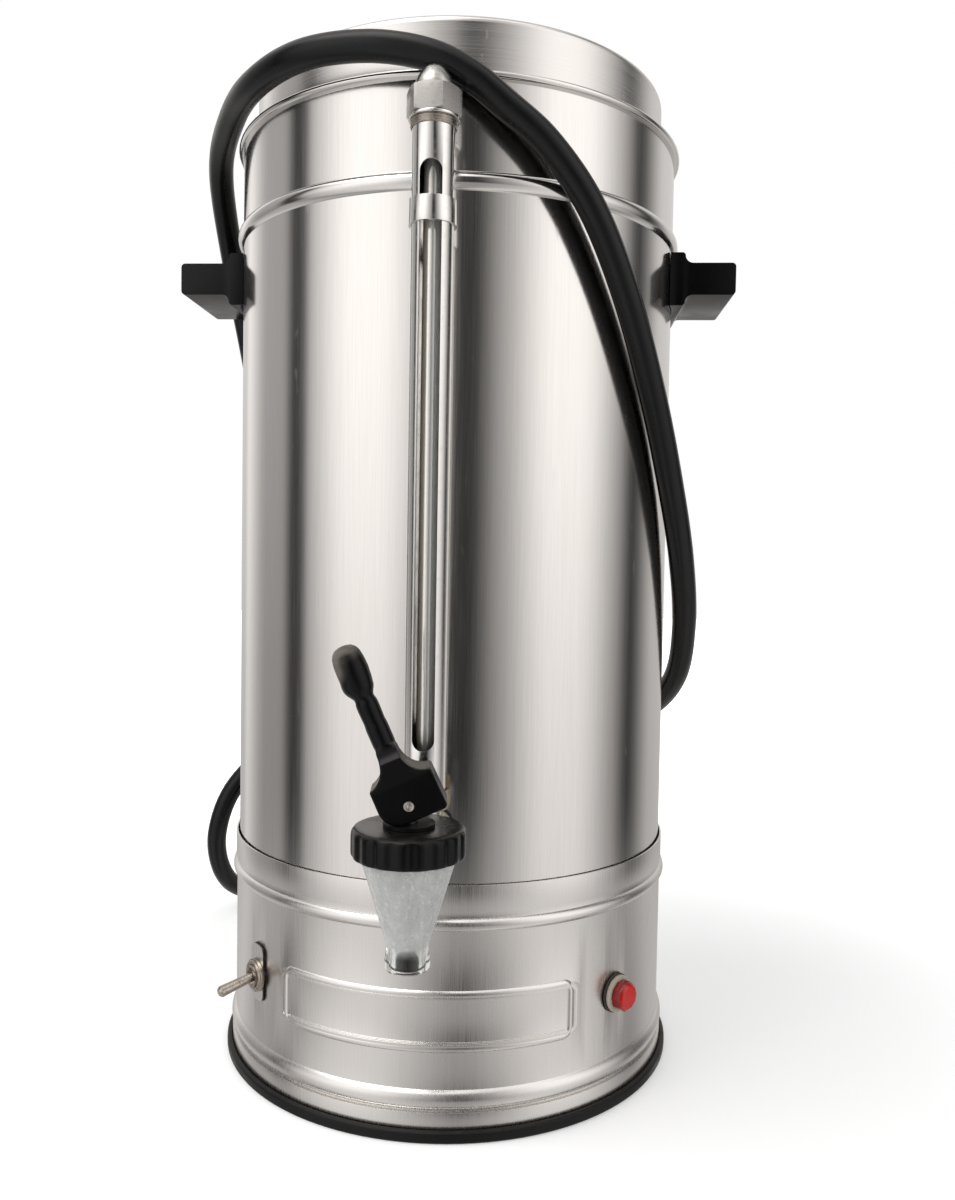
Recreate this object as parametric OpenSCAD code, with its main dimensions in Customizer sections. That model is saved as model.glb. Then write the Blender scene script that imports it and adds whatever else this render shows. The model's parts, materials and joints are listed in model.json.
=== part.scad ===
// Commercial coffee urn: a tall brushed steel tank on a drum base, with a gauge glass
// in a slotted guard, a self-closing tap, two side grips and a loose supply cord.
// Millimetres. +Z is up, the tap faces -Y, and z = 0 is the surface the urn stands on.

/* [Tank] */
// Outer radius of the tank shell
body_r = 115; // [100:1:140]
// Height of the tank's rolled rim above the floor
rim_z = 474; // [400:1:570]
// Thickness of all pressed sheet
sheet_t = 0.8; // [0.6:0.1:1.2]
// Height of the pressed bead round the tank, from its middle down from the rim
bead_drop = 47; // [36:1:60]
// Width of that bead
bead_w = 8.5; // [6:0.5:11]
// How far the bead stands out of the wall
bead_h = 2.8; // [1.5:0.1:3.5]
// How far the rolled rim stands out of the wall
rim_out = 2.6; // [1.5:0.1:4]
// Height of the rolled rim
rim_h = 3.2; // [2:0.2:5]
// Radius of the mouth that the lid sits in
mouth_r = 108.2; // [90:0.1:110]

/* [Base] */
// Height of the base shell's top edge
base_top_z = 116.4; // [100:0.2:150]
// Clearance between the tank and the base shell that it drops into
base_fit = 0.3; // [0.2:0.1:1]
// How far the beads of the base stand out
rib_h = 1.9; // [1:0.1:3]
// Outer height of the rubber foot ring
ring_h = 5.6; // [4:0.2:10]
// How far the foot ring stands out of the base shell
ring_out = 4.7; // [3:0.1:8]
// Width of the raised frame on the front of the base
panel_w = 143.5; // [100:0.5:170]
// Height of that frame
panel_h = 24.6; // [16:0.2:34]
// Height of the frame's middle above the floor
panel_z = 54; // [45:1:60]

/* [Lid] */
// Clearance between the lid's wall and the mouth
lid_fit = 0.5; // [0.3:0.1:1]
// Height of the lid above the tank's rim
lid_h = 28.3; // [16:0.1:45]
// Depth of the lid's wall below the rim
lid_skirt = 12; // [6:1:20]
// Radius of the lid knob
knob_r = 18; // [14:1:24]
// Height of the lid knob
knob_h = 26; // [18:1:36]

/* [Grips] */
// Length of a side grip along the wall
grip_len = 56; // [40:1:80]
// Reach of a grip from the tank's wall
grip_reach = 30.3; // [24:0.1:45]
// Thickness of the grip bar
grip_bar = 16.3; // [12:0.1:22]
// Height of the grip's foot plate
grip_foot = 27; // [22:0.5:36]
// Height of the grip bar's middle above the floor
grip_z = 408.2; // [340:0.1:480]

/* [Gauge] */
// Distance of the gauge's axis from the tank's wall
gauge_off = 16; // [13.5:0.5:20]
// Outer radius of the slotted guard tube
guard_r = 9.15; // [7.5:0.05:11]
// Outer radius of the gauge glass
glass_r = 4; // [3:0.25:5]
// Width of the slot in the guard
slot_w = 9.5; // [6:0.5:12]
// Width across flats of the cap nut
cap_af = 20.8; // [20.6:0.1:26]

/* [Tap] */
// Distance of the tap's axis from the tank's wall
tap_off = 66; // [56:0.5:80]
// Height of the inlet shank's axis above the base shell
shank_rise = 24.6; // [20:0.2:40]
// Outer radius of the inlet shank
shank_r = 7; // [6.5:0.1:7.4]
// Radius of the black bonnet
bonnet_r = 22.2; // [20.5:0.1:24]
// Height of the bonnet
bonnet_h = 11.5; // [9.5:0.5:18]
// Radius of the spout's bore
spout_r = 4.8; // [3:0.1:6]
// Number of grip flutes round the bonnet
flutes = 18; // [12:1:24]
// Radius of the lever's pivot pin
pin_r = 1.4; // [1:0.1:2]
// Thickness of the lever's block along the pin
block_t = 16; // [13:0.5:20]

/* [Switch and lamp] */
// Height of the switch's axis
switch_z = 55.9; // [45:0.1:65]
// Height of the lamp's axis
lamp_z = 54; // [45:0.1:65]
// Turn of the switch from the front to the left, in degrees
switch_turn = 48.4; // [44:0.1:60]
// Turn of the lamp from the front to the right, in degrees
lamp_turn = 49.2; // [44:0.1:60]
// Radius of the toggle's threaded bushing
bushing_r = 5.5; // [5:0.1:7]
// Length of the toggle's bat
bat_len = 20; // [12:0.5:24]
// Radius of the pilot lamp's lens
lens_r = 7.1; // [4.5:0.1:8]

/* [Brewing parts] */
// Radius of the coffee basket
basket_r = 88; // [60:1:95]
// Depth of the coffee basket
basket_h = 72; // [50:1:90]
// Thickness of the basket's sheet
basket_t = 1; // [0.8:0.1:1.5]
// Radius of the pump tube
pump_r = 6; // [5:0.25:8]

/* [Cord] */
// Diameter of the supply cord
cord_d = 13; // [10:0.5:13]

/* [Hidden] */
$fn = 64;
eps = 0.01;

steel = "lightgray";
nickel = "silver";
black = "#1c1c1e";
rubber = "#262626";
cream = "#d9d2bf";

// Tank
wall_in = body_r - sheet_t;
bead_z = rim_z - bead_drop;
rim_low_z = rim_z - rim_h;
neck_drop = 8;
floor_drop = 5;
tank_floor_z = base_top_z + floor_drop;
well_r = 32;
well_drop = 8;

// Base
base_in = body_r + base_fit;
base_r = base_in + sheet_t;
skirt_r = base_r + rib_h;
tuck = 10.4;
foot_seat_z = 3.6;
flange_w = 18;
ring_in = skirt_r - 9;
plate_r = ring_in - 0.7;
base_screw_r = plate_r - 4;
low_rib_z0 = 13.4;
low_rib_z1 = 22.8;
skirt_top_z = low_rib_z0 - 0.4;
base_screw_d = 3.6;
top_rib_z = base_top_z - 18.2;
top_rib_w = 6;
top_band_z = base_top_z - 12.2;
top_band_h = 0.5;

// Lid
lid_r = mouth_r - lid_fit;
lid_top_z = rim_z + lid_h;
lid_panel_r = lid_r - 14;
lid_panel_z = lid_top_z - 5;
lid_stop_w = 1.8;
knob_screw_r = 2.5;
seat_gap = 0.3;

// Brewing parts
basket_z = rim_z - 24 - basket_h;
basket_foot_r = basket_r - 6;
basket_seam = 7;

// Grips
grip_screw_r = 2;
grip_screw_gap = 32;

// Gauge
gauge_y = -(body_r + gauge_off);
shank_z = base_top_z + shank_rise;
guard_t = 1;
guard_bottom_z = shank_z + 22.6;
slot_bottom_z = guard_bottom_z + 17.4;
slot_top_z = rim_z - 47;
band_z = rim_z - 67;
band_h = 10.4;
band_t = 1.1;
cap_z = rim_z - 27.6;
cap_h = 11.4;
cap_dome_h = 10.2;
guard_top_z = cap_z + cap_h - 3;
stud_r = 4;
thread_r = guard_r + 0.35;
thread_len = 11;

// Tap
tap_y = -(body_r + tap_off);
bonnet_z = shank_z + 8.1;
bonnet_top_z = bonnet_z + bonnet_h;
spout_z = shank_z - 35.5;
cone_r = 18.6;
cone_low_r = 8.2;
cone_low_z = spout_z + 9.5;
chamber_r = 12.4;
seat_z = shank_z - 19;
neck_r = 15;
neck_top_z = bonnet_z + 7.4;
stem_r = 3;
stem_gap = 0.4;
// The lever leans 24 degrees: its block then rides on the round of its cam, and the
// stem hangs cam_rate mm higher for each radian of lean.
lean = 24;
cam_rate = 3.9;
rest_lift = cam_rate * lean * PI / 180;
cam_flat = 6.1;
cam_r = 8.3;
washer_t = 1.2;
washer_gap = 0.2;
washer_z = bonnet_top_z + washer_gap;
pin_z = washer_z + washer_t + washer_gap + cam_flat + rest_lift;
// The lever and its stem are turned on the tap's axis by this much at rest.
tap_turn = 6;
pin_fit = 0.05;
slot_gap = 0.4;
cup_z = seat_z + rest_lift + seat_gap;
cup_h = 12;
collar_h = 1.2;
spring_wire_r = 0.55;
spring_r = 4.8;
spring_turns = 6;
spring_rings = 8;
spring_low_z = cup_z + cup_h + collar_h + spring_wire_r + 0.2;
spring_top_z = neck_top_z - spring_wire_r;
lever_right = 13.5;
lever_left = 11.6;
boss_top_z = shank_z + 14;
boss_r = 7.6;
shank_flange_r = 12;
shank_bore = 4;
spigot_r = 5.4;
spigot_len = 11;
port_y = tap_y + chamber_r + spigot_len + 0.6;

// Switch and lamp
plate_rise = 1.3;
bat_droop = 12;
bat_ball = 2.9;
trunnion_r = 1;
bat_depth = 2.9;
lamp_barrel_r = 5.6;

// Cord and plug. The route starts at the strain relief and ends at the plug.
gland_z = 56;
gland_neck_r = 9.4;
route = [
    [0, 150, 56], [0, 182.6, 56], [-8.6, 210.2, 49.6], [-28.3, 231.7, 38.4], [-61.5, 243.8, 25.4],
    [-105.4, 238.6, 14.4], [-145.5, 214.1, 7.3], [-167.2, 178.6, 11.1], [-177.1, 151.4, 30.8],
    [-177.2, 135.1, 64.6], [-163, 134.2, 100.9], [-130.6, 146.4, 129.2], [-80.1, 155.9, 140.4],
    [-21.4, 150.1, 143.5], [34.7, 129, 147.2], [80.2, 98.9, 155.3], [111.2, 65.7, 170],
    [126.4, 32.9, 193.4], [127.5, 2.1, 225.9], [121.3, -26.4, 263.6], [111, -51.8, 303.2],
    [98.9, -73, 343.9], [84.6, -91.1, 383.7], [67.7, -106.1, 417.6], [48.3, -116.2, 441.2],
    [29.8, -121.2, 456], [14, -123.9, 467.7], [-4.7, -124.8, 476.1], [-31.2, -122.6, 480.8],
    [-60.9, -111.6, 482.7], [-87.6, -88.5, 482.2], [-109.7, -54.3, 481.1], [-129.3, -11.7, 470.6],
    [-136.3, 30.1, 438.8], [-132.1, 57.2, 385.2], [-123.3, 72.4, 316.9], [-115.7, 82.3, 244.7],
    [-112, 88, 180], [-112, 88, 130], [-112, 88, 90]
];
cord_sides = 10;
cord_steps = 2;
plug_len = 48;
plug_r = 17;

// ---- Helpers ----

// Points of an arc about [cx, cy] from angle a0 to a1.
function arc(cx, cy, r, a0, a1, n = 8) =
    [for (i = [0:n]) [cx + r * cos(a0 + (a1 - a0) * i / n), cy + r * sin(a0 + (a1 - a0) * i / n)]];

// Stands its children at a turn from the front, where local -Y points outwards.
module at_turn(turn, r, z) {
    rotate([0, 0, turn]) translate([0, -r, z]) children();
}

// A cylinder along +Y from y = 0.
module rod_y(r, len) {
    rotate([-90, 0, 0]) cylinder(r = r, h = len);
}

// A round bead on a wall at radius wall, in section.
module bead(wall, z, w, h) {
    bead_round = (w * w / 4 + h * h) / (2 * h);
    translate([wall + h - bead_round, z]) circle(r = bead_round);
}

// Turns a filled section into pressed sheet of one thickness.
module sheet_section(thickness) {
    difference() {
        children();
        translate([-thickness, 0]) children();
    }
}

// Turns a section on the X axis round the Z axis.
module turned() {
    rotate_extrude($fn = 180) children();
}

// A hexagon of a width across flats, with a corner turned by spin.
module hex_prism(af, h, spin = 0) {
    rotate([0, 0, spin]) cylinder(r = af / sqrt(3), h = h, $fn = 6);
}

// A hexagon nut whose corners are cut by cones at both ends.
module nut(af, h, bore, spin = 0, cut = 1.2) {
    corner = af / sqrt(3);
    difference() {
        intersection() {
            hex_prism(af, h, spin);
            turned() polygon([
                [0, 0], [af / 2, 0], [corner + eps, cut / 2 + 0.3], [corner + eps, h - cut / 2 - 0.3],
                [af / 2, h], [0, h]
            ]);
        }
        translate([0, 0, -1]) cylinder(r = bore, h = h + 2);
    }
}

function unit(v) = v / norm(v);

// The direction of a line at each of its points, with the two end ones given.
function line_dirs(line, start_dir, end_dir) =
    [for (i = [0:len(line) - 1])
        i == 0 ? start_dir : i == len(line) - 1 ? end_dir : unit(line[i + 1] - line[i - 1])];

// A side direction carried along the line, so that the tube doesn't twist.
function carried(dirs, i, side) =
    i == len(dirs) ? [] :
    let (s = unit(side - (side * dirs[i]) * dirs[i])) concat([s], carried(dirs, i + 1, s));

// A closed tube of flat sides along a line of points.
module tube(line, dirs, radius, sides) {
    side_dirs = carried(dirs, 0, [1, 0, 0.2]);
    points = [for (i = [0:len(line) - 1])
        let (u = side_dirs[i], v = cross(dirs[i], u))
        for (k = [0:sides - 1])
            let (a = 360 * k / sides) line[i] + radius * (cos(a) * u + sin(a) * v)];
    last = (len(line) - 1) * sides;
    walls = [for (i = [0:len(line) - 2]) for (k = [0:sides - 1])
        let (a = i * sides + k, b = i * sides + (k + 1) % sides)
        each [[a, b + sides, b], [a, a + sides, b + sides]]];
    start = [for (k = [0:sides - 1]) k];
    end = [for (k = [0:sides - 1]) last + sides - 1 - k];
    polyhedron(points, concat(walls, [start, end]));
}

// ---- Base ----

module base_ring() {
    outer = skirt_r + ring_out - rib_h;
    seat_r = skirt_r + seat_gap;
    edge = 1.4;
    color(rubber) turned() polygon(concat(
        [[ring_in, 0]],
        arc(outer - edge, edge, edge, -90, 0, 6),
        arc(outer - edge, ring_h - edge, edge, 0, 90, 6),
        [[seat_r, ring_h], [seat_r, foot_seat_z], [ring_in, foot_seat_z]]
    ));
}

module bottom_plate() {
    vents = 12;
    vent_ring = plate_r * 0.6;
    vent_r = 3.5;
    color(steel) difference() {
        translate([0, 0, foot_seat_z - sheet_t]) cylinder(r = plate_r, h = sheet_t, $fn = 180);
        for (i = [0:vents - 1]) at_turn(i * 360 / vents, vent_ring, 0) cylinder(r = vent_r, h = 10);
        base_screw_places() cylinder(r = base_screw_d / 2 + 0.2, h = 10);
    }
}

module base_screw_places() {
    for (i = [0:3]) at_turn(45 + i * 90, base_screw_r, 0) children();
}

module base_screws() {
    head_h = 1.6;
    head_r = 3.6;
    head_z = foot_seat_z - sheet_t - head_h;
    color(nickel) base_screw_places() {
        translate([0, 0, head_z]) cylinder(r = head_r, h = head_h);
        translate([0, 0, head_z]) cylinder(r = base_screw_d / 2, h = head_h + 9);
    }
}

// Outer outline of the base's wall, filled in to the axis.
module base_outline() {
    translate([0, foot_seat_z]) square([base_r, base_top_z - foot_seat_z]);
    translate([0, foot_seat_z]) square([skirt_r, skirt_top_z - foot_seat_z]);
    bead(base_r, (low_rib_z0 + low_rib_z1) / 2, low_rib_z1 - low_rib_z0, rib_h + 0.4);
    bead(base_r, top_rib_z, top_rib_w, rib_h);
    translate([0, top_band_z]) square([base_r + top_band_h, base_top_z - top_band_z]);
}

// The raised frame on the front: a rounded rectangle seen from the front, bent to the wall,
// its ridge built up in layers that get narrower outwards.
module panel_frame() {
    line_w = 3;
    corner = 4;
    turn = -0.9;
    layers = [[0, 0.4], [0.4, 0.75], [0.9, 0.95]];
    rotate([0, 0, turn]) for (layer = layers) {
        inset = layer[0];
        height = layer[1];
        intersection() {
            translate([0, 0, panel_z]) rotate([90, 0, 0]) linear_extrude(base_r + 10) difference() {
                rounded_rect(panel_w - 2 * inset, panel_h - 2 * inset, corner - inset);
                rounded_rect(panel_w - 2 * (line_w - inset), panel_h - 2 * (line_w - inset),
                    corner - line_w + inset + 0.6);
            }
            translate([0, 0, panel_z - panel_h]) difference() {
                cylinder(r = base_r + height, h = 2 * panel_h, $fn = 180);
                translate([0, 0, -1]) cylinder(r = base_r - sheet_t / 2, h = 2 * panel_h + 2, $fn = 180);
            }
        }
    }
}

module rounded_rect(w, h, r) {
    polygon(concat(
        arc(w / 2 - r, h / 2 - r, r, 0, 90, 6),
        arc(r - w / 2, h / 2 - r, r, 90, 180, 6),
        arc(r - w / 2, r - h / 2, r, 180, 270, 6),
        arc(w / 2 - r, r - h / 2, r, 270, 360, 6)
    ));
}

module base_shell() {
    color(steel) difference() {
        union() {
            turned() sheet_section(sheet_t) base_outline();
            turned() translate([skirt_r - flange_w, foot_seat_z])
                square([flange_w - sheet_t / 2, sheet_t]);
            turned() translate([base_in, skirt_top_z - sheet_t])
                square([skirt_r - sheet_t / 2 - base_in, sheet_t]);
            panel_frame();
        }
        at_switch(5) rod_y(bushing_r + 0.2, 20);
        at_lamp(5) rod_y(lamp_barrel_r + 0.2, 20);
        translate([0, base_r - 15, gland_z]) rod_y(gland_neck_r + 0.2, 30);
        base_screw_places() cylinder(r = base_screw_d / 2, h = 10);
    }
}

// ---- Tank ----

// Filled outline of the tank's wall up to its rim.
module tank_outline() {
    translate([0, base_top_z - tuck]) square([body_r, rim_low_z - base_top_z + tuck]);
    bead(body_r, bead_z, bead_w, bead_h);
}

module rim_section() {
    round = rim_h / 2;
    translate([body_r + rim_out - round, rim_z - round]) circle(r = round);
    translate([body_r - sheet_t, rim_low_z]) square([rim_out + sheet_t - round, rim_h]);
    translate([mouth_r, rim_z - sheet_t]) square([body_r - mouth_r, sheet_t]);
    translate([mouth_r, rim_z - neck_drop]) square([sheet_t, neck_drop]);
}

module body_shell() {
    color(steel) difference() {
        turned() {
            sheet_section(sheet_t) tank_outline();
            rim_section();
        }
        translate([0, -body_r - 5, shank_z]) rod_y(shank_r + 0.2, 20);
        translate([0, -body_r - 5, band_z]) rod_y(stud_r + 0.2, 20);
        grip_screw_places() translate([-15, 0, 0]) rotate([0, 90, 0])
            cylinder(r = grip_screw_r + 0.2, h = 40);
    }
}

// Pressed floor with a turned-down rim and a well for the pump's foot.
module tank_floor() {
    edge = 3;
    out = wall_in - 0.2;
    top = tank_floor_z + sheet_t;
    color(nickel) turned() sheet_floor(out, top, edge);
}

module sheet_floor(out, top, edge) {
    rim_drop = 9;
    polygon(concat(
        [[0, top - well_drop], [well_r - 4, top - well_drop]],
        [[well_r, top - well_drop + 3], [well_r + 1, top]],
        arc(out - edge, top - edge, edge, 90, 0, 6),
        [[out, top - rim_drop], [out - sheet_t, top - rim_drop]],
        arc(out - edge, top - edge, edge - sheet_t, 0, 90, 6),
        [[well_r + 1 + sheet_t, top - sheet_t], [well_r + sheet_t, top - well_drop + 3]],
        [[well_r - 3.4, top - well_drop - sheet_t], [0, top - well_drop - sheet_t]]
    ));
}

module heating_element() {
    ring = body_r * 0.62;
    w = 9;
    h = 7;
    gap = 40;
    lead = 16;
    color("dimgray") translate([0, 0, tank_floor_z - h - seat_gap]) {
        rotate([0, 0, 90 + gap / 2]) rotate_extrude(angle = 360 - gap, $fn = 120)
            translate([ring - w / 2, 0]) square([w, h]);
        for (side = [-1, 1]) rotate([0, 0, 90 + side * (gap / 2 + 3)])
            translate([ring, 0, -lead]) cylinder(r = 3, h = lead + 1);
    }
}

module thermostat() {
    top = tank_floor_z - well_drop;
    color("silver") translate([0, 0, top - 9]) cylinder(r = 14, h = 9);
    color(cream) translate([0, 0, top - 21]) cylinder(r = 11, h = 12.5);
    color("gold") for (side = [-1, 1])
        translate([side * 6 - 3, -0.5, top - 29]) cube([6, 1, 9]);
}

module thermal_fuse() {
    x = well_r + 14;
    color(cream) translate([x, -12, tank_floor_z - 8]) rod_y(4, 24);
    color(nickel) translate([x - 6, -4, tank_floor_z - 8]) cube([12, 8, 8]);
}

module terminal_block() {
    block_w = 46;
    y = base_r - 52;
    color(cream) difference() {
        translate([-block_w / 2, y, foot_seat_z]) cube([block_w, 20, 16]);
        for (i = [-1:1]) translate([i * 14, y + 6, foot_seat_z + 8]) cylinder(r = 3, h = 20);
    }
}

// ---- Lid ----

module lid() {
    edge = 3.5;
    top = lid_top_z;
    skirt_z = rim_z - lid_skirt;
    stop_z = rim_z + seat_gap;
    hem = 1.2;
    color(steel) difference() {
        turned() polygon(concat(
            [[0, lid_panel_z], [lid_panel_r - 5, lid_panel_z], [lid_panel_r, top]],
            arc(lid_r - edge, top - edge, edge, 90, 0, 6),
            [[lid_r, stop_z + 3.2], [lid_r + lid_stop_w, stop_z + 1.8], [lid_r + lid_stop_w, stop_z]],
            [[lid_r, stop_z], [lid_r, skirt_z + hem], [lid_r - hem, skirt_z]],
            [[lid_r - sheet_t - hem, skirt_z + hem], [lid_r - sheet_t, skirt_z + 2 * hem]],
            arc(lid_r - edge, top - edge, edge - sheet_t, 0, 90, 6),
            [[lid_panel_r + 0.6, top - sheet_t], [lid_panel_r - 4.4, lid_panel_z - sheet_t]],
            [[0, lid_panel_z - sheet_t]]
        ));
        translate([0, 0, lid_panel_z - 5]) cylinder(r = knob_screw_r + 0.2, h = 10);
    }
}

module lid_knob() {
    foot = 9;
    color(black) translate([0, 0, lid_panel_z]) difference() {
        turned() polygon(concat(
            [[0, 0], [foot + 2, 0], [foot + 2, 2]],
            arc(foot + 5, knob_h * 0.4, 5.4, 230, 130, 6),
            arc(knob_r - 4, knob_h - 6, 4, -60, 60, 6),
            [[knob_r * 0.55, knob_h - 0.6], [0, knob_h]]
        ));
        translate([0, 0, -1]) cylinder(r = knob_screw_r, h = 15);
    }
}

module lid_knob_screw() {
    color(nickel) translate([0, 0, lid_panel_z - sheet_t]) {
        translate([0, 0, -2.6]) cylinder(r = 5, h = 2.6);
        translate([0, 0, -1]) cylinder(r = knob_screw_r - 0.05, h = 13);
    }
}

// ---- Brewing parts ----

// Tapered wall of the basket, with a rim at the top and a seam flange at the bottom.
module coffee_basket() {
    color("gainsboro") translate([0, 0, basket_z]) turned() {
        translate([basket_foot_r - basket_seam, basket_t]) square([basket_seam, basket_t]);
        polygon([
            [basket_foot_r, basket_t], [basket_r, basket_h - 3], [basket_r + 3, basket_h - 3],
            [basket_r + 3, basket_h - 2], [basket_r - basket_t, basket_h - 2],
            [basket_foot_r - basket_t, basket_t]
        ]);
    }
}

// Perforated floor plate under the wall's flange, carried by the pump stem's collar.
module basket_floor() {
    holes = 24;
    hole_r = 2;
    color("gainsboro") translate([0, 0, basket_z]) difference() {
        cylinder(r = basket_foot_r, h = basket_t, $fn = 96);
        translate([0, 0, -1]) cylinder(r = pump_r + 0.5, h = basket_t + 2);
        for (k = [0:2]) for (i = [0:holes - 1]) rotate([0, 0, (i + k / 2) * 360 / holes])
            translate([basket_r * (0.4 + 0.2 * k), 0, -1]) cylinder(r = hole_r, h = basket_t + 2, $fn = 24);
    }
}

// Guide tube on the floor plate, which slides over the pump stem.
module basket_tube() {
    color("gainsboro") translate([0, 0, basket_z + basket_t]) turned()
        translate([pump_r + 0.5, 0]) square([basket_t, basket_h - 6 - basket_t]);
}

module basket_cover() {
    holes = 16;
    color("gainsboro") translate([0, 0, basket_z + basket_h - 2]) difference() {
        turned() polygon([
            [pump_r + 0.5, 1.6], [pump_r + 6, 1.6], [pump_r + 9, 0], [basket_r - 3, 0],
            [basket_r - 3, 1], [pump_r + 10, 1], [pump_r + 7, 2.6], [pump_r + 0.5, 2.6]
        ]);
        for (k = [0:1]) for (i = [0:holes - 1]) rotate([0, 0, (i + k / 2) * 360 / holes])
            translate([basket_r * (0.5 + 0.25 * k), 0, -1]) cylinder(r = 2.5, h = 4, $fn = 24);
    }
}

// Pump tube on a bell foot, with a collar that carries the basket.
module pump_stem() {
    foot_z = tank_floor_z + sheet_t - well_drop;
    top_z = basket_z + basket_h + 8;
    wall = 1;
    bell = well_r - 6;
    color("gainsboro") turned() {
        translate([pump_r - wall, foot_z + 11]) square([wall, top_z - foot_z - 11]);
        polygon([
            [bell - wall, foot_z], [bell, foot_z], [bell - 2, foot_z + 6], [pump_r, foot_z + 12],
            [pump_r - wall, foot_z + 12], [pump_r - wall, foot_z + 11], [bell - 3, foot_z + 5]
        ]);
        translate([pump_r - wall / 2, basket_z - 2]) square([6, 2]);
    }
}

// ---- Grips ----

// Every grip screw's place on the wall, its +X pointing out of the tank.
module grip_screw_places() {
    for (side = [0, 180]) rotate([0, 0, side]) for (y = [-0.5, 0.5])
        translate([sqrt(wall_in * wall_in - grip_screw_gap * grip_screw_gap / 4), y * grip_screw_gap, grip_z])
            children();
}

module grip_section() {
    plate_t = 4.5;
    blend = 4;
    edge = 2;
    face = body_r + plate_t;
    half_bar = grip_bar / 2;
    tip = body_r + grip_reach;
    polygon(concat(
        [[body_r - 12, -grip_foot / 2], [face - 1, -grip_foot / 2], [face, 1 - grip_foot / 2]],
        arc(face + blend, -half_bar - blend, blend, 180, 90, 6),
        arc(tip - edge, edge - half_bar, edge, -90, 0, 4),
        arc(tip - edge, half_bar - edge, edge, 0, 90, 4),
        arc(face + blend, half_bar + blend, blend, -90, -180, 6),
        [[face, grip_foot / 2 - 1], [face - 1, grip_foot / 2], [body_r - 12, grip_foot / 2]]
    ));
}

module grip() {
    color(black) difference() {
        translate([0, 0, grip_z]) rotate([90, 0, 0]) linear_extrude(grip_len, center = true) grip_section();
        translate([0, 0, grip_z - grip_foot]) cylinder(r = body_r + base_fit, h = 2 * grip_foot, $fn = 180);
        for (y = [-0.5, 0.5]) translate([body_r - 10, y * grip_screw_gap, grip_z]) rotate([0, 90, 0])
            cylinder(r = grip_screw_r, h = 24);
    }
}

module right_handle() {
    grip();
}

module left_handle() {
    rotate([0, 0, 180]) grip();
}

module handle_screws() {
    head_h = 2.4;
    washer_gap = 1.2;
    color(nickel) grip_screw_places() rotate([0, 90, 0]) {
        translate([0, 0, -head_h - washer_gap]) cylinder(r = 4, h = head_h);
        translate([0, 0, -head_h - washer_gap]) cylinder(r = grip_screw_r - 0.05, h = head_h + washer_gap + 14);
    }
}

// ---- Gauge ----

module at_gauge(z) {
    translate([0, gauge_y, z]) children();
}

module gauge_glass() {
    bottom = guard_bottom_z - 8;
    color("lightblue", 0.4) at_gauge(bottom) difference() {
        cylinder(r = glass_r, h = cap_z + 4 - bottom);
        translate([0, 0, -1]) cylinder(r = glass_r - 1.1, h = cap_z + 6 - bottom);
    }
}

// Guard tube with a round-ended sight slot down its front.
module gauge_guard() {
    guard_h = guard_top_z - guard_bottom_z;
    color(steel) at_gauge(guard_bottom_z) difference() {
        union() {
            cylinder(r = guard_r, h = guard_h);
            translate([0, 0, guard_h - thread_len]) cylinder(r = thread_r, h = thread_len);
        }
        translate([0, 0, -1]) cylinder(r = guard_r - guard_t, h = guard_h + 2);
        translate([0, 0, -guard_bottom_z]) {
            for (z = [slot_bottom_z + slot_w / 2, slot_top_z - slot_w / 2])
                translate([0, -guard_r - 2, z]) rod_y(slot_w / 2, guard_r + 2);
            translate([-slot_w / 2, -guard_r - 2, slot_bottom_z + slot_w / 2])
                cube([slot_w, guard_r + 2, slot_top_z - slot_bottom_z - slot_w]);
        }
    }
}

// Band round the guard, with the neck and stud that hold it off the tank.
module gauge_band() {
    neck = gauge_off - guard_r - band_t / 2;
    color(steel) difference() {
        union() {
            at_gauge(band_z - band_h / 2) cylinder(r = guard_r + band_t, h = band_h);
            translate([0, -body_r - seat_gap - neck, band_z]) rod_y(5.5, neck);
            translate([0, -body_r - neck, band_z]) rod_y(stud_r, neck + 12);
        }
        at_gauge(band_z - band_h) cylinder(r = guard_r + 0.05, h = 2 * band_h);
    }
}

module gauge_band_nut() {
    color(nickel) translate([0, -wall_in + 1, band_z]) rotate([-90, 0, 0]) nut(13, 5, stud_r + 0.05);
}

// Closed cap nut with a domed top.
module gauge_cap_nut() {
    dome_r = cap_af / 2 - 1.6;
    color(nickel) at_gauge(cap_z) difference() {
        union() {
            nut(cap_af, cap_h, eps, spin = -8);
            turned() polygon(concat(
                [[0, cap_h - 1], [dome_r, cap_h - 1], [dome_r, cap_h + 0.12 * cap_dome_h]],
                [[dome_r - 1.3, cap_h + 0.44 * cap_dome_h], [dome_r - 3.6, cap_h + 0.8 * cap_dome_h]],
                [[dome_r - 6, cap_h + 0.97 * cap_dome_h], [0, cap_h + cap_dome_h]]
            ));
        }
        translate([0, 0, -1]) cylinder(r = thread_r + 0.05, h = guard_top_z - cap_z + 2);
    }
}

module seal_ring(z, h) {
    color(rubber) at_gauge(z) difference() {
        cylinder(r = guard_r - guard_t - 0.1, h = h);
        translate([0, 0, -1]) cylinder(r = glass_r + 0.05, h = h + 2);
    }
}

module gauge_top_seal() {
    seal_ring(cap_z - 3, 5);
}

module gauge_bottom_seal() {
    seal_ring(guard_bottom_z + 0.3, 4);
}

module gauge_bottom_nut() {
    color("#8d7a5c") at_gauge(boss_top_z + 0.2)
        nut(20, guard_bottom_z - boss_top_z - 0.4, glass_r + 0.3, spin = 20);
}

// ---- Tap ----

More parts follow.
